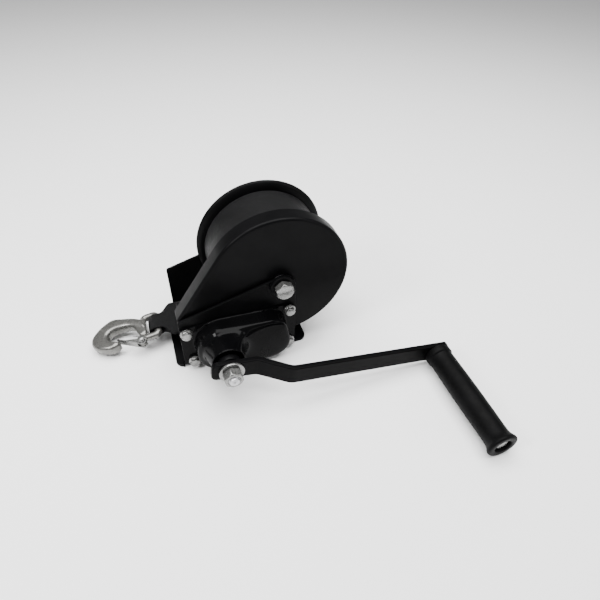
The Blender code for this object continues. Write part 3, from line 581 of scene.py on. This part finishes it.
def frame_channel():
    """A plate with tapered walls folded up, corner reliefs, slots and bores."""
    corner, end, relief = 0.009, 0.076, 0.001
    middle, notch = HALF_WIDTH - corner, FLAT - CORNER_CUT
    half = []
    for step in range(9):
        angle = math.pi / 2 * step / 8
        half.append((end - corner + corner * math.cos(angle), middle + corner * math.sin(angle)))
    half += [(WALL_BACK + relief, HALF_WIDTH), (WALL_BACK + relief, notch), (WALL_BACK, notch)]
    wall = hull([(0.046, unfolded(0.0908), 0.014), (-0.0639, unfolded(0.0663), 0.003)], 128)
    half += [tuple(point) for point in wall[:64]]
    half += [(WALL_FRONT, notch), (WALL_FRONT - relief, notch), (WALL_FRONT - relief, HALF_WIDTH)]
    for step in range(9):
        angle = math.pi / 2 * (1 + step / 8)
        half.append((-end + corner + corner * math.cos(angle), middle + corner * math.sin(angle)))
    half = [Vector(point) for point in half]
    half = [point for i, point in enumerate(half) if i == 0 or (point - half[i - 1]).length > 1e-5]
    outline = half + [Vector((x, -across)) for x, across in reversed(half)]
    holes = []
    for x, y in ((-0.052, -0.022), (-0.052, 0.022), (0.050, 0.0)):
        holes.append(hull([(x - 0.00475, y, 0.00525), (x + 0.00475, y, 0.00525)], 48))
    axle, shaft = (DRUM.x, DRUM.z), (CRANK.x, CRANK.z)
    pawl = JOINTS["pawl_pivot"]["pos_m"]
    near = [(*axle, AXLE_BORE), (*shaft, 0.0093), (pawl[0], pawl[2], 0.0043)]
    near += [(*place, M6_HOLE) for place in COVER_BOLTS]
    for x, z, radius in near:
        holes.append(circle(x, -unfolded(z), radius, 32))
    for x, z, radius in near[:2]:
        holes.append(circle(x, unfolded(z), radius, 32))
    shape = solid_plate([outline, *holes], SHEET, 0.0005)
    cuts = [(1, side * (FLAT + ARC * step / 8)) for side in (-1, 1) for step in range(9)]
    bend(shape, cuts, fold)
    even(piece("frame_folded", shape, POWDER, "frame", "black_coat", "frame_channel", sharp=50))


def gear_guard():
    """A pressed pan: flat face, rounded edge, straight lip."""
    far, face, wall, radius, lip = -0.0232, -0.0415, 0.0015, 0.003, 0.0003
    circles = [(DRUM.x, DRUM.z, 0.0768), (-0.0629, 0.0653, 0.004), (-0.0629, 0.0218, 0.004)]
    turn = [math.pi / 2 * step / 6 for step in range(7)]
    middle, inner = face + radius, radius - wall
    section = [(0.0040, face)]
    section += [(radius * (1 - math.cos(a)), middle - radius * math.sin(a)) for a in reversed(turn)]
    section += [(0, far - lip), (lip, far), (wall - lip, far), (wall, far - lip)]
    section += [(radius - inner * math.cos(a), middle - inner * math.sin(a)) for a in turn]
    section.append((0.0040, face + wall))
    shape = bmesh.new()
    rings = []
    for amount, y in section:
        line = hull([(a, b, r - min(amount, r - 0.0004)) for a, b, r in circles], 192)
        rings.append([shape.verts.new((point.x, y, point.y)) for point in line])
    for lower, upper in zip(rings, rings[1:]):
        strip(shape, lower, upper)
    holes = [(DRUM.x, DRUM.z, 0.0093), (CRANK.x, CRANK.z, 0.0093)]
    holes += [(*place, M6_HOLE) for place in COVER_BOLTS[:2]]
    caps = ([rings[0]], [rings[-1]])
    for a, b, r in holes:
        line = circle(a, b, r, 32)
        ends = [[shape.verts.new((point.x, y, point.y)) for point in line] for y in (face, face + wall)]
        strip(shape, *ends)
        for cap, end in zip(caps, ends):
            cap.append(end)
    for cap in caps:
        verts = [vert for line in cap for vert in line]
        flat = [[Vector((vert.co.x, vert.co.z, 0)) for vert in line] for line in cap]
        for triangle in tessellate_polygon(flat):
            shape.faces.new([verts[i] for i in triangle])
    even(piece("guard_pressed", shape, POWDER, "frame", "black_coat", "gear_guard", sharp=50))


def hull_reach(circles, angle):
    """How far the hull of circles reaches from the origin towards an angle."""
    way = Vector((math.cos(angle), math.sin(angle)))
    reach = []
    for step in range(-80, 81, 2):
        normal = Vector((math.cos(angle + math.radians(step)), math.sin(angle + math.radians(step))))
        edge = max(x * normal.x + z * normal.y + radius for x, z, radius in circles)
        reach.append(edge / way.dot(normal))
    return min(reach)


def brake_cover():
    """A deep pressing: flange, wall, shoulder, and a cone that blends into the round boss."""
    foot = [
        (-0.023, 0.0345, 0.0305), (-0.026, 0.0465, 0.0190), (0.027, 0.044, 0.0205), (0.029, 0.026, 0.021),
    ]
    ridge = [
        (-0.023, 0.0330, 0.0290), (-0.0249, 0.046, 0.0183), (0.0255, 0.043, 0.020), (0.0285, 0.026, 0.0205),
    ]
    flange = [(x, z, 0.0075) for x, z in COVER_BOLTS]
    sheet, depth, boss, sides = COVER_SHEET, 0.0443, 0.0172, 120
    crest, boss_base = 0.0203, 0.0300
    wall = -HALF_WIDTH - GAP
    groups = [[(x - CRANK.x, z - CRANK.z, r) for x, z, r in group] for group in (flange, foot, ridge)]
    shape = bmesh.new()
    rings = None
    for step in range(sides):
        angle = 2 * math.pi * step / sides
        outer, low, high = (hull_reach(circles, angle) for circles in groups)
        root = ((high - 0.0018) ** -6 + boss_base ** -6) ** (-1 / 6)
        hollow = 1 + 0.9 * min(max((high - 0.026) / 0.015, 0), 1)
        levels = [
            (outer, sheet), (outer - 0.0006, sheet), (low + 0.0022, sheet), (low + 0.0008, sheet + 0.0002),
            (low, sheet + 0.0012), (high + 0.0010, 0.0150), (high + 0.0007, 0.0170),
            (high - 0.0002, 0.0190), (high - 0.0014, crest), (root, crest + 0.0009),
        ]
        for part in (0.08, 0.18, 0.30, 0.44, 0.60, 0.76, 0.90):
            levels.append((boss + (root - boss) * (1 - part) ** hollow, crest + (depth - crest) * part))
        levels += [
            (boss, depth - 0.0010), (boss - 0.0002, depth - 0.0004), (boss - 0.0006, depth),
            (boss - 0.0013, depth),
        ]
        if rings is None:
            rings = [[] for _ in levels]
        for line, (radius, height) in zip(rings, levels):
            line.append(shape.verts.new(around(CRANK, radius, angle, wall - height)))
    for lower, upper in zip(rings, rings[1:]):
        strip(shape, lower, upper)
    made = solid(shape)
    blended = made.vertex_groups.new(name="blended")
    fade = 0.004
    for vert in made.data.vertices:
        height = wall - vert.co.y
        share = max(0, min(1, (height - 0.0165) / fade, (depth - 0.002 - height) / fade))
        blended.add([vert.index], share, "REPLACE")
    smooth = made.modifiers.new("smooth", "SUBSURF")
    smooth.levels = smooth.render_levels = 1
    soften = made.modifiers.new("soften", "SMOOTH")
    soften.vertex_group = "blended"
    soften.factor = 0.5
    soften.iterations = 32
    shell = made.modifiers.new("shell", "SOLIDIFY")
    shell.thickness = sheet
    shell.offset = -1
    shape = applied(made)
    bore = [(0, -0.04), (M6_HOLE, -0.04), (M6_HOLE, -0.06), (0, -0.06)]
    bores = [lathe(bore, (x, 0, z), 24) for x, z in COVER_BOLTS]
    shape = joined(shape, *bores, operation="DIFFERENCE")
    piece("cover_pressed", shape, GLOSS, "frame", "gloss_coat", "brake_cover", sharp=55)


def cover_bolts():
    for number, (x, z) in enumerate(COVER_BOLTS, 1):
        low, high = span(f"cover_bolt_{number}")
        base = -HALF_WIDTH - COVER_SHEET - 2 * GAP
        place = (x, 0, z)
        washer = [
            (0, base), (0.0064, base), (0.0068, base - 0.0003), (0.0067, base - 0.0010),
            (0.0056, base - 0.0016), (0.0050, base - 0.0024), (0, base - 0.0024),
        ]
        head = hexagon(0.010, low, base - 0.0012, place, 0.4 * number, None, (True, False))
        shank = [(0, base - 0.001), (0.003, base - 0.001), (0.003, high - 0.0085)]
        shank += thread(0.003, high - 0.0085, high - 0.0006, 0.001, 0.0003) + [(0.0024, high), (0, high)]
        shape = joined(head, lathe(washer, place, 48), lathe(shank, place, 32))
        piece(f"cover_screw_{number}", shape, ZINC, "frame", "zinc", f"cover_bolt_{number}", sharp=40)
        face, back = span(f"cover_nut_{number}")
        nut = hexagon(0.010, face, back, place, math.pi / 6, M6_HOLE, (False, True))
        piece(f"cover_hexnut_{number}", nut, ZINC, "frame", "zinc", f"cover_nut_{number}", sharp=40)


def axle_set():
    place = (DRUM.x, 0, DRUM.z)
    head, end = span("axle_bolt")
    base = head + 0.008
    hexed = hexagon(0.018, head, base - 0.0006, place, math.radians(39), None, (True, False))
    shank = [(0, base - 0.002), (0.0083, base - 0.002), (0.0083, base), (0.006, base), (0.006, end - 0.014)]
    shank += thread(0.006, end - 0.014, end - 0.0010, 0.00175, 0.0007) + [(0.0049, end), (0, end)]
    shape = joined(hexed, lathe(shank, place, 48))
    piece("axle_screw", shape, ZINC, "frame", "zinc", "axle_bolt", sharp=40)
    ring("axle_spacer", AXLE_BORE, 0.0135, place, POWDER, "frame", "black_coat", 0.0010)
    ring("axle_washer", AXLE_BORE, 0.0125, place, ZINC, "frame", "zinc")
    low, high = span("axle_nut")
    nut = hexagon(0.018, low, high, place, math.pi / 6, AXLE_BORE)
    piece("axle_hexnut", nut, ZINC, "frame", "zinc", "axle_nut", sharp=40)


def shaft_bushes():
    bore, body, lip, place = SHAFT_BORE, 0.009, 0.011, (CRANK.x, 0, CRANK.z)
    near = [(bore, -0.0368), (lip, -0.0368), (lip, -0.0397), (body, -0.0397)]
    near += [(body, -0.0503), (bore, -0.0503)]
    far = [(bore, 0.0463), (body, 0.0463), (body, 0.0430), (lip, 0.0430), (lip, 0.0411), (bore, 0.0411)]
    for side, profile in (("near", near), ("far", far)):
        shape = lathe(rounded(profile, 0.0003), place, 48)
        piece(f"bush_{side}_turned", shape, BRONZE, "frame", "bronze", f"shaft_bush_{side}", sharp=50)


# Drum
def ring_of(count, radius, start):
    angles = [start + 2 * math.pi * i / count for i in range(count)]
    return [(radius * math.cos(angle), radius * math.sin(angle)) for angle in angles]


def drum_flanges():
    """The flat near flange, and the far one with its dished middle and flared rim."""
    rivets = ring_of(4, 0.050, math.radians(20))
    anchor = ring_of(1, 0.0300, math.radians(-60))
    low, high = span("drum_flange_near")
    pin_hole = 0.0043
    outlines = [circle(DRUM.x, DRUM.z, FLANGE_RADIUS - 0.0003, 160), circle(DRUM.x, DRUM.z, DRUM_BORE, 48)]
    outlines += [circle(DRUM.x + x, DRUM.z + z, pin_hole, 24) for x, z in rivets + anchor]
    shape = bend(solid_plate(outlines, high - low, 0.0005), (), upright(low))
    even(piece("flange_near_pressed", shape, POWDER, "drum", "black_coat", "drum_flange_near", sharp=50))

    face, dish, sheet = 0.0408, 0.003, 0.002
    flat = face - sheet
    profile = [(DRUM_BORE, flat), (0.0300, flat), (0.0312, flat - 0.0005), (0.0348, flat - dish + 0.0005)]
    profile += [(0.0360, flat - dish), (0.0620, flat - dish), (0.0650, flat - dish + 0.0001)]
    lip = [(0.0672, 0.0045), (0.0692, 0.0041), (0.0709, 0.0034), (0.0723, 0.0025), (0.0733, 0.0014)]
    profile += [(radius, face - depth) for radius, depth in [*lip, (FLANGE_RADIUS, 0.0004)]]
    profile += [(0.0736, face + 0.0003), (0.0729, face + 0.0008), (0.0724, face + 0.0006)]
    profile += [(0.0712, face - 0.0007), (0.0699, face - 0.0016), (0.0682, face - 0.0023)]
    profile += [(0.0660, face - 0.0028), (0.0636, face - dish), (0.0366, face - dish)]
    profile += [(0.0354, face - dish + 0.0005), (0.0318, face - 0.0005), (0.0306, face), (DRUM_BORE, face)]
    (x, z), = anchor
    pin = [(0, 0.05), (pin_hole, 0.05), (pin_hole, 0.03), (0, 0.03)]
    bore = lathe(pin, (DRUM.x + x, 0, DRUM.z + z), 24)
    shape = joined(lathe(profile, (DRUM.x, 0, DRUM.z), 160), bore, operation="DIFFERENCE")
    piece("flange_far_pressed", shape, POWDER, "drum", "black_coat", "drum_flange_far", sharp=40)


def webbing(name, line, widths, body, nodes, offsets=None):
    """A strap along a line of (x, z), as wide as widths says, with soft edges and a map for its weave."""
    section = []
    for side in (1, -1):
        for step in range(5):
            angle = math.pi / 2 - math.pi * step / 4
            section.append((side * 0.5, side * math.cos(angle) * 0.5, side * math.sin(angle) * 0.5))
        section.extend((side * 0.5 - side * part, 0, -side * 0.5) for part in (0.12, 0.3, 0.5, 0.7, 0.88))
    middles = [STRAP_MIDDLE + offset for offset in offsets or [0.0] * len(line)]
    shape = bmesh.new()
    rings, lengths = [], [0.0]
    for i, point in enumerate(line):
        before, after = Vector(line[max(i - 1, 0)]), Vector(line[min(i + 1, len(line) - 1)])
        along = (after - before).normalized()
        out = Vector((-along.y, along.x))
        if i:
            lengths.append(lengths[-1] + (Vector(point) - Vector(line[i - 1])).length)
        loop = []
        for across, bulge, depth in section:
            y = middles[i] + across * (widths[i] - WEAVE_THICKNESS) + bulge * WEAVE_THICKNESS
            place = Vector(point) + out * depth * WEAVE_THICKNESS
            loop.append(shape.verts.new((place.x, y, place.y)))
        rings.append(loop)
    for lower, upper in zip(rings, rings[1:]):
        strip(shape, lower, upper)
    shape.faces.new(rings[0])
    shape.faces.new(rings[-1])
    chart = shape.loops.layers.uv.new("weave")
    where = {vert: length for loop, length in zip(rings, lengths) for vert in loop}
    for face in shape.faces:
        for corner in face.loops:
            corner[chart].uv = (corner.vert.co.y, where[corner.vert])
    made = piece(name, shape, WEBBING, body, "webbing", *nodes, sharp=60)
    return made, lengths[-1]


def strap_roll():
    """The wound strap: one long strip, turn upon turn, laid a little unevenly."""
    inner, outer = BARREL_RADIUS + LAYER / 2, ROLL_RADIUS - LAYER / 2
    turns = (outer - inner) / LAYER
    count = round(turns * 72)
    line, wander = [], []
    for step in range(count + 1):
        part = step / count
        turn = turns * (1 - part)
        wander.append(0.0016 * math.sin(2.1 * turn) * min(turn, 1))
        angle = -math.pi / 2 - 2 * math.pi * turn
        radius = inner + (outer - inner) * part + 0.00008 * math.sin(5 * angle) * part
        line.append((DRUM.x + radius * math.cos(angle), DRUM.z + radius * math.sin(angle)))
    widths = [STRAP_WIDTH - 0.0004] * len(line)
    made, length = webbing("strap_winding", line, widths, "drum", ["strap_roll"], wander)


def lead_line():
    """The free end's middle line: under the roll, out to the hook's eye, slackly round it and sewn back."""
    half, reach = LAYER / 2, EYE_WIRE + GAP + LAYER / 2
    top = DRUM.z - ROLL_RADIUS - GAP - half
    line = []
    for step in range(9):
        angle = -math.pi / 2 + math.radians(26) * (1 - step / 8)
        radius = ROLL_RADIUS + GAP + half
        line.append((DRUM.x + radius * math.cos(angle), DRUM.z + radius * math.sin(angle)))
    for step in range(1, 48):
        line.append((DRUM.x + (EYE_BAR.x - DRUM.x) * step / 48, top))
    for step in range(25):
        angle = math.pi / 2 + math.radians(192) * step / 24
        slack = 1.62 if math.cos(angle) < 0 else 1.0
        line.append((EYE_BAR.x + reach * slack * math.cos(angle), EYE_BAR.z + reach * math.sin(angle)))
    end = line[-1]
    sewn = top - 2 * half
    for step in range(1, 25):
        t = min(step / 8, 1)
        x = end[0] + (-0.0420 - end[0]) * step / 24
        line.append((x, end[1] + (sewn - end[1]) * (3 * t * t - 2 * t ** 3)))
    return line


def strap_lead():
    """The lead narrows towards the hook's eye, and its doubled end is sewn in a crossed box."""
    line = lead_line()
    widths = []
    for x, z in line:
        t = min(max((x - EYE_BAR.x - 0.0046) / 0.013, 0), 1)
        t = t * t * (3 - 2 * t)
        widths.append(LOOP_WIDTH + (STRAP_WIDTH - LOOP_WIDTH) * t)
    made, length = webbing("strap_end", line, widths, "frame", ["strap_lead"])
    stitches = bmesh.new()
    top = DRUM.z - ROLL_RADIUS - GAP
    half, edge, pitch = 0.021, 0.0225, 0.0030
    rows = [((x, -half), (x, half)) for x in (-0.0465, -0.0500, -0.0600, -0.0635)]
    rows += [((-0.0500, -half), (-0.0600, half)), ((-0.0500, half), (-0.0600, -half))]
    rows += [((-0.0460, side), (-0.0640, side)) for side in (-edge, edge)]
    for start, stop in rows:
        start, stop = Vector((*start, 0)), Vector((*stop, 0))
        count = round((stop - start).length / pitch)
        for i in range(count):
            for level, lift in ((top - 0.00005, 1), (top - 0.00437, -1)):
                points = []
                for k, rise in enumerate((-0.0002, 0.00022, 0.0003, 0.00022, -0.0002)):
                    spot = start.lerp(stop, (i + 0.14 + 0.72 * k / 4) / count)
                    points.append((spot.x, STRAP_MIDDLE + spot.y, level + rise * lift))
                sweep(points, 0.00028, 6, shape=stitches)
    sewing = piece("strap_stitches", stitches, THREAD, "frame", "webbing")


# Crank
def crank_shaft_set():
    place = (CRANK.x, 0, CRANK.z)
    low, high = span("crank_shaft")
    profile = [(0, high), (0.0062, high), (0.007, high - 0.0008)]
    profile += [(0.007, -0.0622), (0.0066, -0.0626), (0.006, -0.0630)]
    profile += thread(0.006, -0.0640, -0.0890, 0.00175, 0.0007)
    profile += [(0.006, -0.0900), (0.006, -0.1030)]
    profile += thread(0.006, -0.1040, low + 0.0010, 0.00175, 0.0007)
    profile += [(0.0049, low), (0.0016, low), (0, low + 0.0014)]
    piece("shaft_turned", lathe(profile, place, 64), STEEL, "crank", "steel", "crank_shaft", sharp=40)
    hub_low, _ = span("crank_hub")
    hub = [
        (AXLE_BORE, -0.0630), (0.014, -0.0630), (0.014, -0.0655), (0.0095, -0.0655), (0.0095, -0.0900),
        (0.0118, -0.0912), (0.0118, hub_low), (AXLE_BORE, hub_low),
    ]
    shape = lathe(rounded(hub, 0.0005), place)
    piece("hub_turned", shape, POWDER, "crank", "black_coat", "crank_hub", sharp=50)
    ring("shaft_washer", SHAFT_BORE, 0.0115, place, ZINC, "crank", "zinc", 0.0002)
    ring("crank_washer", AXLE_BORE, 0.0130, place, ZINC, "crank", "zinc")
    low, high = span("crank_nut")
    nut = hexagon(0.018, low, high, place, math.radians(42), AXLE_BORE)
    piece("crank_hexnut", nut, ZINC, "crank", "zinc", "crank_nut", sharp=40)
    low, high = span("shaft_clip")
    arc = [math.radians(40 + 280 * i / 32) for i in range(33)]
    clip = [around(CRANK, 0.0098, angle, 0).xz for angle in arc]
    clip += [around(CRANK, SHAFT_BORE, angle, 0).xz for angle in reversed(arc)]
    shape = bend(solid_plate([clip], high - low, 0.0002), (), upright(low))
    piece("clip_pressed", shape, STEEL, "crank", "steel", "shaft_clip", sharp=50)


def arm_to_world(along, across, y):
    c, s = math.cos(CRANK_REST), math.sin(CRANK_REST)
    return Vector((CRANK.x + along * c - across * s, y, CRANK.z + along * s + across * c))


def crank_arm():
    """A bar drawn flat, then bent along its length with a round jog."""
    eye, face, thick = -0.1005, -0.1194, 0.006
    jog_start, jog = 0.02682, 0.032
    corners = [Vector((-0.020, eye)), Vector((jog_start, eye)), Vector((jog_start + jog, face))]
    corners.append(Vector((0.244, face)))
    slope = math.atan2(eye - face, jog)
    radius = 0.016
    tangent = radius * math.tan(slope / 2)
    ways = [(after - before).normalized() for before, after in zip(corners, corners[1:])]
    first = (corners[1] - corners[0]).length - tangent
    second = (corners[2] - corners[1]).length - 2 * tangent
    third = (corners[3] - corners[2]).length - tangent
    arc = radius * slope
    marks = [first, first + arc, first + arc + second, first + 2 * arc + second]
    total = marks[-1] + third

    def on_path(a):
        if a <= marks[0]:
            return corners[0] + ways[0] * a, 0.0
        if a <= marks[1]:
            angle = (a - marks[0]) / radius
            start = corners[1] - ways[0] * tangent
            return start + Vector((math.sin(angle), math.cos(angle) - 1)) * radius, angle
        if a <= marks[2]:
            return corners[1] + ways[1] * (tangent + a - marks[1]), slope
        if a <= marks[3]:
            angle = (marks[3] - a) / radius
            stop = corners[2] + ways[2] * tangent
            return stop + Vector((-math.sin(angle), 1 - math.cos(angle))) * radius, angle
        return corners[2] + ways[2] * (tangent + a - marks[3]), 0.0

    def place(a, b, t):
        point, angle = on_path(a)
        out = Vector((math.sin(angle), math.cos(angle)))
        spot = point + out * (t - thick / 2)
        return arm_to_world(spot.x, b, spot.y)

    circles = [(0.007, side * 0.004, 0.007) for side in (-1, 1)]
    circles += [(total - 0.003, side * 0.008, 0.003) for side in (-1, 1)]
    outline = hull(circles, 96)
    holes = [circle(0.020, 0, AXLE_BORE, 40), circle(total - 0.012, 0, 0.0043, 32)]
    shape = solid_plate([outline, *holes], thick, 0.0011, 4)
    cuts = []
    for low, high in (marks[:2], marks[2:]):
        cuts += [(0, low + (high - low) * step / 8) for step in range(9)]
    bend(shape, cuts, place)
    even(piece("arm_bent", shape, SHADED_ARM_COAT, "crank", "black_coat", "crank_arm", sharp=50))


def grip_set():
    """The grip with its collar and flared end, and the spindle that holds it."""
    place = joint_place("grip_spin")
    end, start = span("handle_grip")
    recess, bore, flare = end + 0.0065, 0.0056, 0.0160
    profile = [(bore, start), (0.0140, start), (0.0147, start - 0.0006), (0.0148, start - 0.0070)]
    profile += [(0.0144, start - 0.0078), (0.0136, start - 0.0082), (0.0134, start - 0.0086)]
    for step in range(1, 12):
        t = step / 12
        profile.append((0.0134 + 0.0005 * math.sin(math.pi * t) - 0.0002 * t, start - 0.0086 - 0.0964 * t))
    profile += [(0.0132, end + 0.0150), (0.0133, end + 0.0110), (0.0137, end + 0.0080)]
    profile += [(0.0146, end + 0.0056), (0.0155, end + 0.0040), (flare, end + 0.0026)]
    profile += [(flare, end + 0.0016), (0.0154, end + 0.0005), (0.0146, end), (0.0098, end)]
    profile += [(0.0092, end + 0.0004), (0.0089, end + 0.0012), (0.0087, recess), (bore, recess)]
    piece("grip_moulded", lathe(profile, place, 80), PLASTIC, "grip", "plastic", "handle_grip", sharp=40)
    low, high = span("grip_spindle")
    back, front = high - 0.0028, high - 0.0028 - 0.0066
    spindle = [
        (0, high), (0.0036, high - 0.0002), (0.0058, high - 0.0010), (0.0073, back + 0.0006),
        (0.0073, back), (0.0040, back), (0.0040, front), (0.0052, front), (0.0052, recess - 0.0020),
        (0.0068, recess - 0.0020), (0.0070, recess - 0.0024), (0.0067, low + 0.0010),
        (0.0056, low + 0.0003), (0, low),
    ]
    piece("spindle_turned", lathe(spindle, place, 56), ZINC, "crank", "zinc", "grip_spindle", sharp=50)
    ring("grip_washer", 0.0055, 0.0088, place, ZINC, "crank", "zinc", 0.0002)


# Snap hook
LATCH_HINGE = Vector((0.0185, 0.0215))
LATCH_END = Vector((0.0460, 0.0072))
LATCH_HOLE = 0.0021


def hook_to_world(u, v, n):
    """A point of the hook's own plane, n above it, in world axes."""
    return EYE_BAR + HOOK_AXES @ Vector((u, v, n))


def smooth_path(points, steps):
    """Catmull-Rom points through the given ones."""
    ends = [points[0]] + points + [points[-1]]
    path = []
    for i in range(1, len(ends) - 2):
        before, start, stop, after = (Vector(point) for point in ends[i - 1:i + 3])
        for step in range(steps):
            t = step / steps
            curve = (2 * before - 5 * start + 4 * stop - after) * t * t
            twist = (3 * start - before - 3 * stop + after) * t * t * t
            path.append((2 * start + (stop - before) * t + curve + twist) / 2)
    path.append(Vector(points[-1]))
    return path


def level(low):
    """Places a plate drawn in the hook's plane, with its depth up from low."""
    return lambda a, b, t: Vector((a, b, low + t))


def hook_outline():
    """The forged bar in plan: out along the shank, round the massive bend to the tip, and back inside."""
    root_far, root_near = (0.0140, -0.0100, 0), (0.0140, 0.0040, 0)
    outside = [(0.0240, -0.0170, 0), (0.0360, -0.0222, 0), (0.0495, -0.0262, 0), (0.0620, -0.0205, 0)]
    outside += [(0.0715, -0.0110, 0), (0.0750, -0.0020, 0), (0.0730, 0.0070, 0), (0.0660, 0.0145, 0)]
    tip = [(0.0560, 0.0190, 0), (0.0490, 0.0193, 0), (0.0437, 0.0150, 0), (0.0445, 0.0105, 0)]
    inside = [(0.0490, 0.0085, 0), (0.0540, 0.0045, 0), (0.0560, -0.0010, 0), (0.0535, -0.0060, 0)]
    inside += [(0.0460, -0.0085, 0), (0.0340, -0.0075, 0), (0.0250, -0.0032, 0)]
    line = smooth_path([root_far, *outside, *tip, *inside, root_near], 8)
    return [point.xy for point in line]


def hook_body():
    """The eye's ring, the forged bar, its root and the latch's lug, fused and softened as one casting."""
    corner, half, length = 0.0045, 0.0115, 0.016
    eye = []
    centres = [(length - corner, half), (corner, half), (corner, -half), (length - corner, -half)]
    for quarter, (u, v) in enumerate(centres):
        for step in range(9):
            angle = math.radians(90 * quarter + 90 * step / 8)
            eye.append((u + corner * math.cos(angle), v + corner * math.sin(angle), 0))
    bar = bend(solid_plate([hook_outline()], 0.0136, 0.0044, 6), (), level(-0.0068))
    root = [(0.0170, 0.0080, 0.0050), (0.0170, -0.0080, 0.0050), (0.0200, -0.0040, 0.0060)]
    lug = [(*LATCH_HINGE, 0.0036), (0.0170, 0.0090, 0.0040)]
    block = bend(solid_plate([hull(root, 64)], 0.0108, 0.0024, 4), (), level(-0.0054))
    ear = bend(solid_plate([hull(lug, 64)], 0.0044, 0.0008, 3), (), level(-0.0022))
    shape = joined(sweep(eye, EYE_WIRE, 24, closed=True), bar, block, ear)
    made = solid(shape)
    skin = made.modifiers.new("skin", "REMESH")
    skin.mode = "VOXEL"
    skin.voxel_size = 0.00065
    soft = made.modifiers.new("soft", "SMOOTH")
    soft.factor = 0.5
    soft.iterations = 7
    shape = applied(made)
    bore = bend(solid_plate([circle(*LATCH_HINGE, LATCH_HOLE, 32)], 0.02, 0.0001, 1), (), level(-0.01))
    shape = joined(shape, bore, operation="DIFFERENCE")
    bend(shape, (), hook_to_world)
    piece("hook_forging", shape, CAST_ZINC, "hook", "zinc", "hook_body", sharp=60)


def latch_set():
    """The spring latch: a folded plate between two ears, its rivet and its coil spring."""
    reach = LATCH_END - LATCH_HINGE
    lean = math.atan2(reach.y, reach.x)
    turn = Matrix.Rotation(lean, 2)

    def turned(circles, count):
        spots = [(LATCH_HINGE + turn @ Vector((a, b)), radius) for a, b, radius in circles]
        return hull([(spot.x, spot.y, radius) for spot, radius in spots], count)

    back = turned([(0.0062, 0.0026, 0.0007), (reach.length, -0.0002, 0.0007)], 48)
    shape = bend(solid_plate([back], 0.0084, 0.0004), (), level(-0.0042))
    outline = turned([(0, 0, 0.0040), (0.0200, 0.0006, 0.0011)], 64)
    hole = circle(*LATCH_HINGE, LATCH_HOLE, 24)
    for low in (0.0025, -0.0037):
        shape = joined(shape, bend(solid_plate([outline, hole], 0.0012, 0.0003), (), level(low)))
    bend(shape, (), hook_to_world)
    piece("latch_pressed", shape, ZINC, "latch", "zinc", "hook_latch", sharp=40)

    profile = [(0, -0.0054), (0.0024, -0.0053), (0.0034, -0.0046), (0.0034, -0.0040), (0.0018, -0.0040)]
    profile += [(0.0018, 0.0084), (0.0034, 0.0084), (0.0034, 0.0090), (0.0024, 0.0095), (0, 0.0096)]
    shape = lathe(profile, (0, 0, 0), 40)
    bend(shape, (), lambda x, n, z: hook_to_world(LATCH_HINGE.x + x, LATCH_HINGE.y + z, n))
    piece("latch_rivet_turned", shape, ZINC, "hook", "zinc", "latch_rivet", sharp=50)

    points = []
    coil, pitch, turns = 0.0027, 0.0011, 3
    for step in range(turns * 24 + 1):
        angle = lean - math.pi / 2 + 2 * math.pi * step / 24
        height = 0.0043 + pitch * step / 24
        points.append(Vector((coil * math.cos(angle), coil * math.sin(angle), height)))
    along = Vector((math.cos(lean), math.sin(lean), 0))
    points = [points[0] - along * 0.004, *points, points[-1] + along * 0.010]
    points = [hook_to_world(LATCH_HINGE.x + x, LATCH_HINGE.y + y, n) for x, y, n in points]
    piece("latch_coil", sweep(points, 0.0005, 10), ZINC, "latch", "zinc", "latch_spring")


def inner_parts():
    """CAD nodes that keep their shape get the same finishes, by the record's slots."""
    looks = {"black_coat": POWDER, "gloss_coat": GLOSS, "zinc": ZINC, "steel": STEEL, "bronze": BRONZE}
    looks |= {"lining": LINING, "plastic": PLASTIC, "webbing": PLASTIC}
    slots = {part["node"]: part["material_slot"] for part in frame["record"]["subparts"]}
    for node, made in frame["nodes"].items():
        made.data.materials.clear()
        made.data.materials.append(looks[slots[node]])


camera()
stage()
inner_parts()
frame_channel()
gear_guard()
brake_cover()
cover_bolts()
axle_set()
shaft_bushes()
drum_flanges()
strap_roll()
strap_lead()
crank_shaft_set()
crank_arm()
grip_set()
hook_body()
latch_set()
